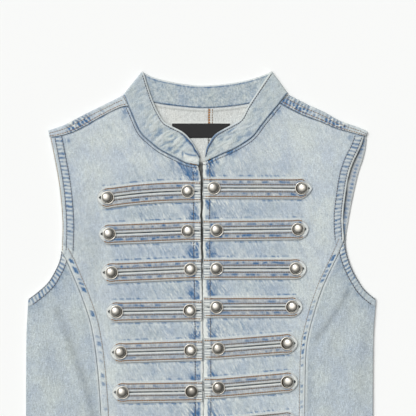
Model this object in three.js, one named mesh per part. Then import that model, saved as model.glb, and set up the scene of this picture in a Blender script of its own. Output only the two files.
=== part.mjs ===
// Sleeveless denim vest with a stand collar and rows of looped frogs, laid flat with its front up.
// Millimetres. +X is to the right of the laid vest, +Y towards the collar, +Z up, and it lies on z = 0.
// Left and right are the sides as seen from above.
import * as THREE from "three";

// Thicknesses
const DENIM = 1.4;
const COLLAR = 2.4; // two layers and the interlining
const STRAP = 2; // the folded strip of a frog
const LABEL = 0.8;
const GAP = 0.3; // between pieces that lie on each other
const SEAM = 0.2; // each panel stops this far short of a seam line

// Heights of the middle of each wall
const BACK_Z = DENIM / 2;
const FRONT_Z = DENIM + GAP + DENIM / 2;
const BACK_COLLAR_Z = COLLAR / 2;
const SHOULDER_BEND = 1.25; // bend radius where the back panel comes over the shoulder
const COLLAR_BEND = 1.5; // bend radius at the two folds of the collar

// How the front stands off the back: a general loft that starts at the edges, and a rise at the neck
const LOFT = 0.8;
const LOFT_REACH = 16;
const NECK_RISE = 0.5;
const NECK_FROM = 60;
const NECK_TO = 130;

// Outlines, each from its first row to its last, in columns [x, y]
const HEM = -247;
const SIDE_LEFT = [[-221.2, HEM], [-221.2, -169], [-220.8, -93], [-219.4, -61], [-218.4, -41]];
const UNDERARM_LEFT = [
  [-218.4, -41], [-206, -31.6], [-193.4, -19.6], [-184.2, -4.4],
  [-178.6, 9], [-177, 20],
];
const ARMHOLE_LEFT = [
  [-177, 20], [-176.2, 52.5], [-178.2, 84], [-181.8, 112],
  [-187.1, 141], [-191.6, 163],
];
const PRINCESS_LEFT = [
  [-123.2, HEM], [-125.8, -194], [-130.8, -127], [-138.4, -76.5],
  [-149.2, -42.3], [-159.3, -17.1], [-169.6, 6.3], [-177, 20],
];
const SIDE_RIGHT = [[217.8, HEM], [217.4, -169], [218, -93], [219.8, -61], [221.2, -41]];
const UNDERARM_RIGHT = [[221.2, -41], [206.7, -28.4], [193.4, -7], [185.6, 13.3], [181.4, 33.5]];
const ARMHOLE_RIGHT = [
  [181.4, 33.5], [180.2, 62.8], [184, 96.7], [187.9, 117.4],
  [193, 131.6], [197, 140.1], [202.4, 151.3], [207, 164.5],
];
const PRINCESS_RIGHT = [
  [130.8, HEM], [131.2, -189], [132.1, -127], [134.6, -93.7],
  [142.8, -60], [152.9, -29.7], [163.1, -6.6], [174.6, 17.1], [181.4, 33.5],
];
const BACK_ARMHOLE_RIGHT = [
  [221.2, -41], [206.7, -28.4], [193.4, -7], [185.4, 13.3], [183.3, 33.5], [186.6, 57.5],
  [191.5, 84.1], [199, 117.4], [204.8, 134.6], [208.6, 151.3], [210, 168.8],
];
const CENTRE_LEFT = [[2.8, HEM], [2.5, -93], [0.6, 33.5], [0.2, 112], [-2.9, 127.5]];
const CENTRE_RIGHT = [[3.7, HEM], [3.4, -93], [2, 33.5], [2.3, 132.1]];
const CORNER_RIGHT = [[2.3, 132.1], [6, 132.1]]; // the right front reaches past the end of the collar
const CENTRE_BACK = [[5, HEM], [8, 0], [10.7, 200.4]];
const FOLD_LEFT = [
  [-192.6, 170.1], [-182.5, 173.4], [-170.5, 178], [-150.2, 189],
  [-121.8, 202.8], [-98.4, 214.6],
];
const FOLD_RIGHT = [
  [210, 168.8], [200.7, 173.3], [175.6, 182.5], [155.5, 193.5],
  [135.4, 202.6], [110.2, 215.6],
];
const FOLD_OUT_LEFT = [-0.418, 0.908]; // the way that each shoulder fold faces
const FOLD_OUT_RIGHT = [0.42, 0.907];
const SEAM_LEFT = [
  [-191.6, 163], [-179.5, 164.6], [-163.1, 168.9], [-147.1, 176.6],
  [-131, 186.1], [-115, 194.6], [-100, 201.2],
];
const SEAM_RIGHT = [
  [207, 164.5], [193.4, 168.2], [173.2, 173.6], [151.3, 182.7],
  [126.1, 192.4], [110, 200.6],
];

// The collar band: its lower line and its upper line, from one front end to the other
const NECK_LEFT = [
  [-2.6, 127.8], [-17.7, 130.6], [-31.6, 137.2], [-51.1, 147.3],
  [-64, 157.4], [-77.1, 170.8], [-89.2, 197.8], [-96.5, 215.1],
];
const NECK_BACK = [
  [-96.5, 215.1], [-57.5, 207.2], [-31.6, 203.4], [0, 200.8],
  [26.5, 201.8], [58.1, 205.9], [107.8, 217.7],
];
const NECK_RIGHT = [
  [5.7, 132.4], [13.4, 136.3], [26.5, 142.2], [45.5, 151],
  [65, 164.1], [78, 180.8], [91, 196.6], [107.8, 217.7],
];
const TOP_LEFT = [
  [-1.6, 140.9], [-6.3, 149.8], [-12.6, 159.9], [-22.8, 170],
  [-38.2, 178.2], [-48.4, 185.5], [-61.4, 211], [-72.4, 245],
];
const TOP_BACK = [
  [-72.4, 245], [-57.5, 238.3], [-31.6, 232.3], [-6.3, 229],
  [13.4, 229.2], [39.2, 231.9], [64.5, 237.2], [87.4, 245.4],
];
const TOP_RIGHT = [
  [5.4, 140.9], [7.2, 149.8], [12.1, 159.9], [19.8, 168.6],
  [36.7, 178.2], [50.6, 187], [61.2, 206], [87.4, 245.4],
];

// How the outlines share the grids of the panels
const NECK_SHARE = 0.9; // of each front neck line, from its front end, lies above the front panel
const NECK_COLUMNS = 8; // of a front panel below its neck line, met by as many of the collar
const SHOULDER_COLUMNS = 6; // of a front panel below its shoulder seam
const PRINCESS_SHARE_LEFT = 0.62; // of the front panel's outer edge is princess seam, the rest is armhole
const PRINCESS_SHARE_RIGHT = 0.67;
const SIDE_SHARE = 0.42; // of the back's outer edge is side, the rest is armhole
const BACK_SHOULDER = 0.5; // of a back panel's top edge is shoulder, the rest is neck
const CENTRE_SHARE = 0.52; // share of the back neck line at the centre-back seam
const PANEL_WIDTH = 100; // rough sizes, which turn the seam gap into a share
const PANEL_LENGTH = 400;

// Soft folds of the front, in columns [x, y, x, y, width, rise]: a ridge from one point to the other
const FOLDS = [
  [-178, -70, -136, -190, 9, 1.3],
  [-204, -85, -186, -215, 12, 0.9],
  [-196, -52, -150, -62, 10, 0.6],
  [186, -36, 146, -118, 10, 1.3],
  [205, -75, 180, -205, 12, 0.9],
  [160, -150, 150, -236, 9, 0.7],
  [-164, 84, -132, 130, 10, 0.7],
  [172, 88, 146, 132, 10, 0.7],
];

// Rows of frogs from the top, in columns [outer x, outer y, inner x, inner y, bow] of the two buttons.
// A bow of 2 keeps the strap level near the middle and lets its outer end drop.
const FROGS = {
  left: [
    [-117.9, 87, -16.7, 94.9, 2],
    [-115.8, 41.1, -16.9, 45, 1],
    [-112.9, -7.7, -13.4, -3.5, 1],
    [-106.6, -57.1, -14.3, -55.5, 1],
    [-101.5, -108.5, -13.4, -105.8, 1],
    [-99, -159.1, -12.3, -157.7, 1],
    [-97.3, -209.2, -12, -207.9, 1],
  ],
  right: [
    [127, 98.7, 16.4, 99.1, 1],
    [122.5, 47.1, 20, 45.8, 1],
    [119.8, -2.7, 19.7, -2.9, 1],
    [114.8, -50.9, 19.7, -51.4, 1],
    [108.6, -97.1, 21.9, -103.8, 1],
    [109, -145.7, 22.2, -153.3, 1],
    [108.1, -195.9, 22.2, -204.1, 1],
  ],
};
const RUN = 12.6; // width of each of the two runs of a frog
const SLIT = 1.4; // between the runs
const TIP = 13.6; // from the outer button to the end of the loop
const MITRE = 1.4; // 2 would make the end of the loop round, 1 would make it a plain point

// Buttons, as a profile in columns [radius, height]
const BUTTON = [[0, 0], [7.8, 0], [8.1, 1.1], [6.8, 2.6], [4.6, 4.6], [0, 5.6]];
const BRIM = 8.1;
const BUTTON_SIDES = 12;

const LABEL_BOX = { x: [-36.7, 36.7], y: [162.6, 180.8] };

const denim = (colour) => new THREE.MeshStandardMaterial({ color: colour, roughness: 0.92, metalness: 0 });
const FRONT_DENIM = denim(0xbec7cd);
const SIDE_DENIM = denim(0xb5bdc3);
const INSIDE_DENIM = denim(0xc6cacd);
const COLLAR_DENIM = denim(0xb7bfc4);
const FROG_DENIM = denim(0xb4bcc4);
const BLANK_LABEL = denim(0x17171a);
const SILVER = new THREE.MeshStandardMaterial({ color: 0xb8b4ab, roughness: 0.35, metalness: 1 });

const vest = new THREE.Group();
const UP = new THREE.Vector3(0, 0, 1);
const mix = THREE.MathUtils.lerp;
const smooth = THREE.MathUtils.smoothstep;

// A smooth line through the rows of a table, as a function of its share of length
function line(rows) {
  const curve = new THREE.SplineCurve(rows.map(([x, y]) => new THREE.Vector2(x, y)));
  return (t) => curve.getPointAt(THREE.MathUtils.clamp(t, 0, 1));
}

// The same line moved, or turned round, or only its stretch from one share of it to another
const moved = (curve, dx, dy) => (t) => curve(t).add(new THREE.Vector2(dx, dy));
const turned = (curve) => (t) => curve(1 - t);
const stretch = (curve, from, to) => (t) => curve(mix(from, to, t));

// One line after another. The first ends at the given share of the whole.
function chain(first, share, second) {
  return (t) => (t <= share ? first(t / share) : second((t - share) / (1 - share)));
}

// A surface between four lines: left and right run upwards, bottom and top run to the right
function patch(left, right, top) {
  const bottom = (u) => left(0).lerp(right(0), u);
  return (u, v) => {
    const across = left(v).lerp(right(v), u);
    const along = bottom(u).lerp(top(u), v);
    const corners = bottom(0).lerp(bottom(1), u).lerp(top(0).clone().lerp(top(1), u), v);
    return across.add(along).sub(corners);
  };
}

// The x of a table that rises in y, at height y
function xAt(rows, y) {
  const next = rows.findIndex((row) => row[1] >= y);
  if (next <= 0) return rows[next < 0 ? rows.length - 1 : 0][0];
  const [[x0, y0], [x1, y1]] = [rows[next - 1], rows[next]];
  return mix(x0, x1, (y - y0) / (y1 - y0));
}

// The neck edges of the front panels, just below the collar, and the shoulder seams that meet them
const neckLeft = moved(stretch(line(NECK_LEFT), NECK_SHARE, 0), -GAP, -GAP);
const belowCollar = moved(stretch(line(NECK_RIGHT), 0, NECK_SHARE), GAP, -GAP);
const neckRight = chain(line(CORNER_RIGHT), 1 / NECK_COLUMNS, belowCollar);
const seamLeft = line([...SEAM_LEFT, neckLeft(0).toArray()]);
const seamRight = line([...SEAM_RIGHT, neckRight(1).toArray()]);

const OUTLINE_LEFT = [...SIDE_LEFT, ...UNDERARM_LEFT, ...ARMHOLE_LEFT];
const OUTLINE_RIGHT = [...SIDE_RIGHT, ...UNDERARM_RIGHT, ...ARMHOLE_RIGHT];

function foldRise(x, y, [x0, y0, x1, y1, width, rise]) {
  const length = Math.hypot(x1 - x0, y1 - y0);
  const [ax, ay] = [(x1 - x0) / length, (y1 - y0) / length];
  const along = (x - x0) * ax + (y - y0) * ay;
  const off = (y - y0) * ax - (x - x0) * ay;
  const ends = smooth(along, -width, width) * (1 - smooth(along, length - width, length + width));
  return rise * ends * Math.exp(-((off / width) ** 2));
}

// Height of the middle of the front's cloth
function frontZ(x, y) {
  const edge = Math.min(x - xAt(OUTLINE_LEFT, y), xAt(OUTLINE_RIGHT, y) - x);
  const stand = smooth(edge, 0, LOFT_REACH);
  const folds = FOLDS.reduce((sum, fold) => sum + foldRise(x, y, fold), 0);
  return FRONT_Z + stand * (LOFT + folds) + NECK_RISE * smooth(y, NECK_FROM, NECK_TO);
}

// A closed wall over a grid. at(i, j) gives a point of its middle and the way that its outside faces,
// and has(i, j) says whether the cell between i, j and i + 1, j + 1 is there.
function wall(name, material, rows, columns, thickness, at, has = () => true) {
  const points = [];
  for (const side of [0.5, -0.5]) {
    for (let i = 0; i <= rows; i++) {
      for (let j = 0; j <= columns; j++) {
        const { middle, facing } = at(i, j);
        points.push(...middle.clone().addScaledVector(facing, thickness * side));
      }
    }
  }
  const inner = (rows + 1) * (columns + 1);
  const index = (i, j) => i * (columns + 1) + j;
  const there = (i, j) => i >= 0 && j >= 0 && i < rows && j < columns && has(i, j);
  const faces = [];
  const rim = (a, b) => faces.push(a, a + inner, b + inner, a, b + inner, b);
  for (let i = 0; i < rows; i++) {
    for (let j = 0; j < columns; j++) {
      if (!there(i, j)) continue;
      const [a, b, c, d] = [index(i, j), index(i, j + 1), index(i + 1, j + 1), index(i + 1, j)];
      faces.push(a, b, c, a, c, d);
      faces.push(a + inner, c + inner, b + inner, a + inner, d + inner, c + inner);
      if (!there(i - 1, j)) rim(a, b);
      if (!there(i, j + 1)) rim(b, c);
      if (!there(i + 1, j)) rim(c, d);
      if (!there(i, j - 1)) rim(d, a);
    }
  }
  const used = [...new Set(faces)];
  const place = new Map(used.map((old, k) => [old, k]));
  const geometry = new THREE.BufferGeometry();
  const kept = used.flatMap((k) => points.slice(3 * k, 3 * k + 3));
  geometry.setAttribute("position", new THREE.Float32BufferAttribute(kept, 3));
  const corners = faces.map((k) => place.get(k));
  const insideOut = volume(kept, corners) < 0;
  geometry.setIndex(insideOut ? corners.reverse() : corners);
  geometry.computeVertexNormals();
  return add(name, geometry, material);
}

function volume(points, faces) {
  const corner = (k) => new THREE.Vector3(...points.slice(3 * faces[k], 3 * faces[k] + 3));
  let sum = 0;
  for (let k = 0; k < faces.length; k += 3) sum += corner(k).dot(corner(k + 1).cross(corner(k + 2)));
  return sum / 6;
}

function add(name, geometry, material) {
  const mesh = new THREE.Mesh(geometry, material);
  mesh.name = name;
  vest.add(mesh);
  return mesh;
}

// A panel of the front. inset gives the seam allowance left open at its left, right and top.
function frontPanel(name, material, surface, columns, rows, inset) {
  const place = (k, count, from, to) => mix(from, 1 - to, k / count);
  wall(name, material, rows, columns, DENIM, (i, j) => {
    const p = surface(place(j, columns, inset.left, inset.right), place(i, rows, 0, inset.top));
    return { middle: new THREE.Vector3(p.x, p.y, frontZ(p.x, p.y)), facing: UP };
  });
}

function fronts() {
  const COLUMNS = SHOULDER_COLUMNS + NECK_COLUMNS;
  const ROWS = 22;
  const leftOuter = chain(line(PRINCESS_LEFT), PRINCESS_SHARE_LEFT, line(ARMHOLE_LEFT));
  const rightOuter = chain(line(PRINCESS_RIGHT), PRINCESS_SHARE_RIGHT, line(ARMHOLE_RIGHT));
  const leftTop = chain(seamLeft, SHOULDER_COLUMNS / COLUMNS, neckLeft);
  const rightTop = chain(neckRight, NECK_COLUMNS / COLUMNS, turned(seamRight));
  const left = patch(leftOuter, line(CENTRE_LEFT), leftTop);
  const right = patch(line(CENTRE_RIGHT), rightOuter, rightTop);
  const leftSide = patch(line(SIDE_LEFT), line(PRINCESS_LEFT), line(UNDERARM_LEFT));
  const rightSide = patch(line(PRINCESS_RIGHT), line(SIDE_RIGHT), turned(line(UNDERARM_RIGHT)));
  const seam = SEAM / PANEL_WIDTH;
  const none = { left: 0, right: 0, top: SEAM / PANEL_LENGTH };
  frontPanel("front_left_centre", FRONT_DENIM, left, COLUMNS, ROWS, { ...none, left: seam });
  frontPanel("front_right_centre", FRONT_DENIM, right, COLUMNS, ROWS, { ...none, right: seam });
  frontPanel("front_left_side", SIDE_DENIM, leftSide, 8, 14, { ...none, right: seam });
  frontPanel("front_right_side", SIDE_DENIM, rightSide, 8, 14, { ...none, left: seam });
}

// Half of the back. Its flat layer lies on the surface, inside up, and its shoulder bends over to the front.
function back(name, surface, shoulder, seam, out, columns, shoulderFrom, shoulderTo) {
  const FLAT = 18;
  const BEND = 4;
  const STRIP = 1;
  const outward = new THREE.Vector3(out[0], out[1], 0).normalize();
  const at = (i, j) => {
    const u = j / columns;
    if (i <= FLAT) {
      const p = surface(u, i / FLAT);
      return { middle: new THREE.Vector3(p.x, p.y, BACK_Z), facing: UP.clone().negate() };
    }
    const t = (u - shoulderFrom) / (shoulderTo - shoulderFrom);
    const fold = shoulder(t);
    const turn = Math.min(1, (i - FLAT) / BEND) * Math.PI;
    const facing = outward.clone().multiplyScalar(Math.sin(turn)).addScaledVector(UP, -Math.cos(turn));
    const centre = new THREE.Vector3(fold.x, fold.y, BACK_Z + SHOULDER_BEND);
    const middle = centre.addScaledVector(facing, SHOULDER_BEND);
    if (i > FLAT + BEND) {
      const end = seam(t);
      middle.x = end.x + Math.sign(out[0]) * SEAM;
      middle.y = end.y + SEAM + GAP;
    }
    return { middle, facing };
  };
  const has = (i, j) => {
    const u = (j + 0.5) / columns;
    return i < FLAT || (u > shoulderFrom && u < shoulderTo);
  };
  wall(name, INSIDE_DENIM, FLAT + BEND + STRIP, columns, DENIM, at, has);
}

function backs() {
  const HIDDEN = 1; // the left back lies this far inside the edge of the front
  const COLUMNS = 14;
  const neck = moved(line(NECK_BACK), 0, -GAP);
  const armholeLeft = [...UNDERARM_LEFT, ...ARMHOLE_LEFT.slice(1, -1)].map(([x, y]) => [x + HIDDEN, y]);
  const leftEdge = chain(moved(line(SIDE_LEFT), GAP, 0), SIDE_SHARE, line([...armholeLeft, FOLD_LEFT[0]]));
  const rightEdge = chain(moved(line(SIDE_RIGHT), -GAP, 0), SIDE_SHARE, line(BACK_ARMHOLE_RIGHT));
  const foldLeft = line(FOLD_LEFT);
  const foldRight = turned(line(FOLD_RIGHT));
  const centre = line([...CENTRE_BACK.slice(0, -1), neck(CENTRE_SHARE).toArray()]);
  const leftTop = chain(foldLeft, BACK_SHOULDER, stretch(neck, 0, CENTRE_SHARE));
  const rightTop = chain(stretch(neck, CENTRE_SHARE, 1), 1 - BACK_SHOULDER, foldRight);
  back("back_left", patch(leftEdge, moved(centre, -SEAM, 0), leftTop), foldLeft,
    seamLeft, FOLD_OUT_LEFT, COLUMNS, 0, BACK_SHOULDER);
  back("back_right", patch(moved(centre, SEAM, 0), rightEdge, rightTop), foldRight,
    turned(seamRight), FOLD_OUT_RIGHT, COLUMNS, 1 - BACK_SHOULDER, 1);
}

// The band of the collar: across its front ends, round its two folds and along the back of the neck
function collar() {
  const BACK = 12;
  const BEND = 4;
  const ACROSS = 3;
  const shares = (count) => Array.from({ length: count + 1 }, (_, k) => k / count);
  const front = (count) => [...shares(count).map((t) => t * NECK_SHARE), 1];
  const stretches = [
    { low: line(NECK_LEFT), high: line(TOP_LEFT), shares: front(NECK_COLUMNS), turn: 1 },
    { fold: [NECK_LEFT.at(-1), TOP_LEFT.at(-1)], shares: shares(BEND), side: -1, down: true },
    { low: line(NECK_BACK), high: line(TOP_BACK), shares: shares(BACK), turn: 0 },
    { fold: [NECK_RIGHT.at(-1), TOP_RIGHT.at(-1)], shares: shares(BEND), side: 1, down: false },
    { low: line(NECK_RIGHT), high: line(TOP_RIGHT), shares: front(NECK_COLUMNS - 1).reverse(), turn: 1 },
  ];
  const sections = [];
  for (const { low, high, shares: stops, turn, fold, side, down } of stretches) {
    for (const t of stops.slice(sections.length ? 1 : 0)) {
      if (!fold) {
        sections.push({ low: low(t), high: high(t), angle: turn * Math.PI, out: new THREE.Vector3() });
        continue;
      }
      const [foot, head] = fold.map(([x, y]) => new THREE.Vector2(x, y));
      const way = head.clone().sub(foot).normalize();
      const out = new THREE.Vector3(side * way.y, -side * way.x, 0);
      sections.push({ low: foot, high: head, angle: Math.PI * (down ? 1 - t : t), out });
    }
  }
  wall("collar", COLLAR_DENIM, sections.length - 1, ACROSS, COLLAR, (i, j) => {
    const { low, high, angle, out } = sections[i];
    const p = low.clone().lerp(high, j / ACROSS);
    const facing = out.clone().multiplyScalar(Math.sin(angle)).addScaledVector(UP, -Math.cos(angle));
    const middle = new THREE.Vector3(p.x, p.y, BACK_COLLAR_Z + COLLAR_BEND);
    return { middle: middle.addScaledVector(facing, COLLAR_BEND), facing: facing.normalize() };
  });
}

function label() {
  const { x, y } = LABEL_BOX;
  const z = DENIM + GAP + LABEL / 2;
  wall("label", BLANK_LABEL, 1, 2, LABEL, (i, j) => ({
    middle: new THREE.Vector3(mix(x[0], x[1], j / 2), mix(y[0], y[1], i), z), facing: UP,
  }));
}

// The middle line of a frog: from the front edge (t = 0) through the inner button to the outer one (t = 1)
function frogLine([outerX, outerY, innerX, innerY, bow], edgeX, t) {
  const x = mix(edgeX, outerX, t);
  const along = THREE.MathUtils.clamp((x - innerX) / (outerX - innerX), 0, 1);
  return new THREE.Vector2(x, mix(innerY, outerY, along ** bow));
}

// One folded strip: out along the upper run, round the mitred end and back along the lower run
function frog(name, row, edgeX) {
  const LONG = 6;
  const ROUND = 4;
  const ACROSS = 2;
  const way = Math.sign(row[0] - row[2]);
  const total = 2 * LONG + ROUND;
  const at = (i, j) => {
    const share = j / ACROSS;
    const reach = mix(SLIT / 2, SLIT / 2 + RUN, share);
    const onRun = i <= LONG || i >= LONG + ROUND;
    const t = i <= LONG ? i / LONG : i >= LONG + ROUND ? (total - i) / LONG : 1;
    const centre = frogLine(row, edgeX, t);
    const angle = onRun ? (i <= LONG ? Math.PI / 2 : -Math.PI / 2) : Math.PI * (0.5 - (i - LONG) / ROUND);
    const [c, s] = [Math.cos(angle), Math.sin(angle)];
    const mitre = (Math.abs(c) ** MITRE + Math.abs(s) ** MITRE) ** (-1 / MITRE);
    const longer = mix(1, TIP / (SLIT / 2 + RUN), Math.abs(c));
    const x = centre.x + (onRun ? 0 : way * c * reach * mitre * longer);
    const y = centre.y + (onRun ? s * reach : s * reach * mitre);
    const z = frontZ(x, y) + DENIM / 2 + GAP + STRAP / 2;
    return { middle: new THREE.Vector3(x, y, z), facing: UP };
  };
  wall(name, FROG_DENIM, total, ACROSS, STRAP, at);
}

function button(name, x, y) {
  const profile = BUTTON.map(([radius, height]) => new THREE.Vector2(radius, height));
  const geometry = new THREE.LatheGeometry(profile, BUTTON_SIDES).rotateX(Math.PI / 2);
  const mesh = add(name, geometry, SILVER);
  mesh.position.set(x, y, buttonFoot(x, y));
}

// A button stands clear of the highest cloth of the frog under its brim
function buttonFoot(x, y) {
  let highest = frontZ(x, y);
  for (let k = 0; k < 8; k++) {
    const angle = (k * Math.PI) / 4;
    highest = Math.max(highest, frontZ(x + BRIM * Math.cos(angle), y + BRIM * Math.sin(angle)));
  }
  return highest + DENIM / 2 + GAP + STRAP + GAP;
}

function closures() {
  const EDGE_GAP = 0.6; // a frog stops this far short of the front edge
  for (const [side, rows] of Object.entries(FROGS)) {
    rows.forEach((row, k) => {
      const [outerX, outerY, innerX, innerY] = row;
      const centre = side === "left" ? CENTRE_LEFT : CENTRE_RIGHT;
      const edge = xAt(centre, innerY) + Math.sign(outerX) * EDGE_GAP;
      frog(`frog_${side}_${k + 1}`, row, edge);
      button(`button_${side}_outer_${k + 1}`, outerX, outerY);
      button(`button_${side}_inner_${k + 1}`, innerX, innerY);
    });
  }
}

backs();
fronts();
collar();
label();
closures();

export default vest;
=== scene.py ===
"""Light-wash denim vest, laid flat: fine cloth, stitching, wash and metal over the frame's solids.

Lengths are in millimetres until a mesh is made, with +X to the right of the laid vest and +Y to its collar.
"""
import math

import bpy
import numpy as np
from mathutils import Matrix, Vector


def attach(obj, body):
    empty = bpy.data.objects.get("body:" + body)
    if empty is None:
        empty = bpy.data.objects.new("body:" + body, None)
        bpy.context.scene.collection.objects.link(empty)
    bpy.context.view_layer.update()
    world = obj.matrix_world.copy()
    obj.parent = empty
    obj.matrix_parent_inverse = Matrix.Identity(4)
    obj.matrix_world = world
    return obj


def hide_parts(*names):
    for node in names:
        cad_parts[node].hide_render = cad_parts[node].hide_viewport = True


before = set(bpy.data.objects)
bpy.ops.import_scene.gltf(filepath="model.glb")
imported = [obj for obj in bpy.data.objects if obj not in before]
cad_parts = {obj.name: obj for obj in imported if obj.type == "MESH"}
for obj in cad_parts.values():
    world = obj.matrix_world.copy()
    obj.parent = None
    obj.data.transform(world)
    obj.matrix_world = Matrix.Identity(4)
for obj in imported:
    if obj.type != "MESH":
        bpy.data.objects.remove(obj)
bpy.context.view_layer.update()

MM = 0.001

# The photograph: its middle in the frame, and the width that it shows
VIEW_CENTRE = (8.85, 73.9)
VIEW_WIDTH = 525.8
VIEW_HEIGHT = 2200
FACE_HEIGHT = 4
SENSOR = 36

# The frame's walls
DENIM = 1.4
COLLAR = 2.4
STRAP = 2
LABEL = 0.8
GAP = 0.3
SEAM = 0.2
BACK_Z = DENIM / 2
FRONT_Z = DENIM + GAP + DENIM / 2
BACK_COLLAR_Z = COLLAR / 2
SHOULDER_BEND = 1.25
COLLAR_BEND = 1.5
LOFT = 0.8
LOFT_REACH = 16
NECK_RISE = 0.5
NECK_FROM = 60
NECK_TO = 130
HEM = -247

# The frame's outlines
SIDE_LEFT = [[-221.2, HEM], [-221.2, -169], [-220.8, -93], [-219.4, -61], [-218.4, -41]]
UNDERARM_LEFT = [[-218.4, -41], [-206, -31.6], [-193.4, -19.6], [-184.2, -4.4], [-178.6, 9], [-177, 20]]
ARMHOLE_LEFT = [[-177, 20], [-176.2, 52.5], [-178.2, 84], [-181.8, 112], [-187.1, 141], [-191.6, 163]]
PRINCESS_LEFT = [
    [-123.2, HEM], [-125.8, -194], [-130.8, -127], [-138.4, -76.5],
    [-149.2, -42.3], [-159.3, -17.1], [-169.6, 6.3], [-177, 20],
]
SIDE_RIGHT = [[217.8, HEM], [217.4, -169], [218, -93], [219.8, -61], [221.2, -41]]
UNDERARM_RIGHT = [[221.2, -41], [206.7, -28.4], [193.4, -7], [185.6, 13.3], [181.4, 33.5]]
ARMHOLE_RIGHT = [
    [181.4, 33.5], [180.2, 62.8], [184, 96.7], [187.9, 117.4],
    [193, 131.6], [197, 140.1], [202.4, 151.3], [207, 164.5],
]
PRINCESS_RIGHT = [
    [130.8, HEM], [131.2, -189], [132.1, -127], [134.6, -93.7],
    [142.8, -60], [152.9, -29.7], [163.1, -6.6], [174.6, 17.1], [181.4, 33.5],
]
BACK_ARMHOLE_RIGHT = [
    [221.2, -41], [206.7, -28.4], [193.4, -7], [185.4, 13.3], [183.3, 33.5], [186.6, 57.5],
    [191.5, 84.1], [199, 117.4], [204.8, 134.6], [208.6, 151.3], [210, 168.8],
]
CENTRE_LEFT = [[2.8, HEM], [2.5, -93], [0.6, 33.5], [0.2, 112], [-2.9, 127.5]]
CENTRE_RIGHT = [[3.7, HEM], [3.4, -93], [2, 33.5], [2.3, 132.1]]
CORNER_RIGHT = [[2.3, 132.1], [6, 132.1]]
CENTRE_BACK = [[5, HEM], [8, 0], [10.7, 200.4]]
FOLD_LEFT = [[-192.6, 170.1], [-182.5, 173.4], [-170.5, 178], [-150.2, 189], [-121.8, 202.8], [-98.4, 214.6]]
FOLD_RIGHT = [[210, 168.8], [200.7, 173.3], [175.6, 182.5], [155.5, 193.5], [135.4, 202.6], [110.2, 215.6]]
FOLD_OUT = {"left": (-0.418, 0.908), "right": (0.42, 0.907)}
SEAM_LEFT = [
    [-191.6, 163], [-179.5, 164.6], [-163.1, 168.9], [-147.1, 176.6],
    [-131, 186.1], [-115, 194.6], [-100, 201.2],
]
SEAM_RIGHT = [[207, 164.5], [193.4, 168.2], [173.2, 173.6], [151.3, 182.7], [126.1, 192.4], [110, 200.6]]
NECK_LEFT = [
    [-2.6, 127.8], [-17.7, 130.6], [-31.6, 137.2], [-51.1, 147.3],
    [-64, 157.4], [-77.1, 170.8], [-89.2, 197.8], [-96.5, 215.1],
]
NECK_BACK = [
    [-96.5, 215.1], [-57.5, 207.2], [-31.6, 203.4], [0, 200.8], [26.5, 201.8], [58.1, 205.9], [107.8, 217.7],
]
NECK_RIGHT = [
    [5.7, 132.4], [13.4, 136.3], [26.5, 142.2], [45.5, 151],
    [65, 164.1], [78, 180.8], [91, 196.6], [107.8, 217.7],
]
TOP_LEFT = [
    [-1.6, 140.9], [-6.3, 149.8], [-12.6, 159.9], [-22.8, 170],
    [-38.2, 178.2], [-48.4, 185.5], [-61.4, 211], [-72.4, 245],
]
TOP_BACK = [
    [-72.4, 245], [-57.5, 238.3], [-31.6, 232.3], [-6.3, 229],
    [13.4, 229.2], [39.2, 231.9], [64.5, 237.2], [87.4, 245.4],
]
TOP_RIGHT = [
    [5.4, 140.9], [7.2, 149.8], [12.1, 159.9], [19.8, 168.6],
    [36.7, 178.2], [50.6, 187], [61.2, 206], [87.4, 245.4],
]
NECK_SHARE = 0.9
PRINCESS_SHARE_LEFT = 0.62
PRINCESS_SHARE_RIGHT = 0.67
SHOULDER_PART = 6 / 14
SIDE_SHARE = 0.42
BACK_SHOULDER = 0.5
CENTRE_SHARE = 0.52

# Soft folds of the front, in columns [x, y, x, y, width, rise]
FOLDS = [
    [-178, -70, -136, -190, 9, 1.3],
    [-204, -85, -186, -215, 12, 0.9],
    [-196, -52, -150, -62, 10, 0.6],
    [186, -36, 146, -118, 10, 1.3],
    [205, -75, 180, -205, 12, 0.9],
    [160, -150, 150, -236, 9, 0.7],
    [-164, 84, -132, 130, 10, 0.7],
    [172, 88, 146, 132, 10, 0.7],
]

# Frogs, in columns [outer x, outer y, inner x, inner y, bow] of the two buttons
FROGS = {
    "left": [
        [-117.9, 87, -16.7, 94.9, 2],
        [-115.8, 41.1, -16.9, 45, 1],
        [-112.9, -7.7, -13.4, -3.5, 1],
        [-106.6, -57.1, -14.3, -55.5, 1],
        [-101.5, -108.5, -13.4, -105.8, 1],
        [-99, -159.1, -12.3, -157.7, 1],
        [-97.3, -209.2, -12, -207.9, 1],
    ],
    "right": [
        [127, 98.7, 16.4, 99.1, 1],
        [122.5, 47.1, 20, 45.8, 1],
        [119.8, -2.7, 19.7, -2.9, 1],
        [114.8, -50.9, 19.7, -51.4, 1],
        [108.6, -97.1, 21.9, -103.8, 1],
        [109, -145.7, 22.2, -153.3, 1],
        [108.1, -195.9, 22.2, -204.1, 1],
    ],
}
RUN = 12.6
SLIT = 1.4
TIP = 13.6
EDGE_GAP = 0.6
BRIM = 8.1

LABEL_BOX = {"x": (-36.7, 36.7), "y": (162.6, 180.8)}


# Lines and surfaces

def lengths_along(points):
    """The length of a path up to each of its points."""
    return np.concatenate([[0], np.cumsum(np.linalg.norm(np.diff(points, axis=0), axis=1))])


def raised(x, y, z):
    """The points of a grid, of which z may be one height for all."""
    return np.stack(np.broadcast_arrays(x, y, z), axis=-1)


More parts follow.
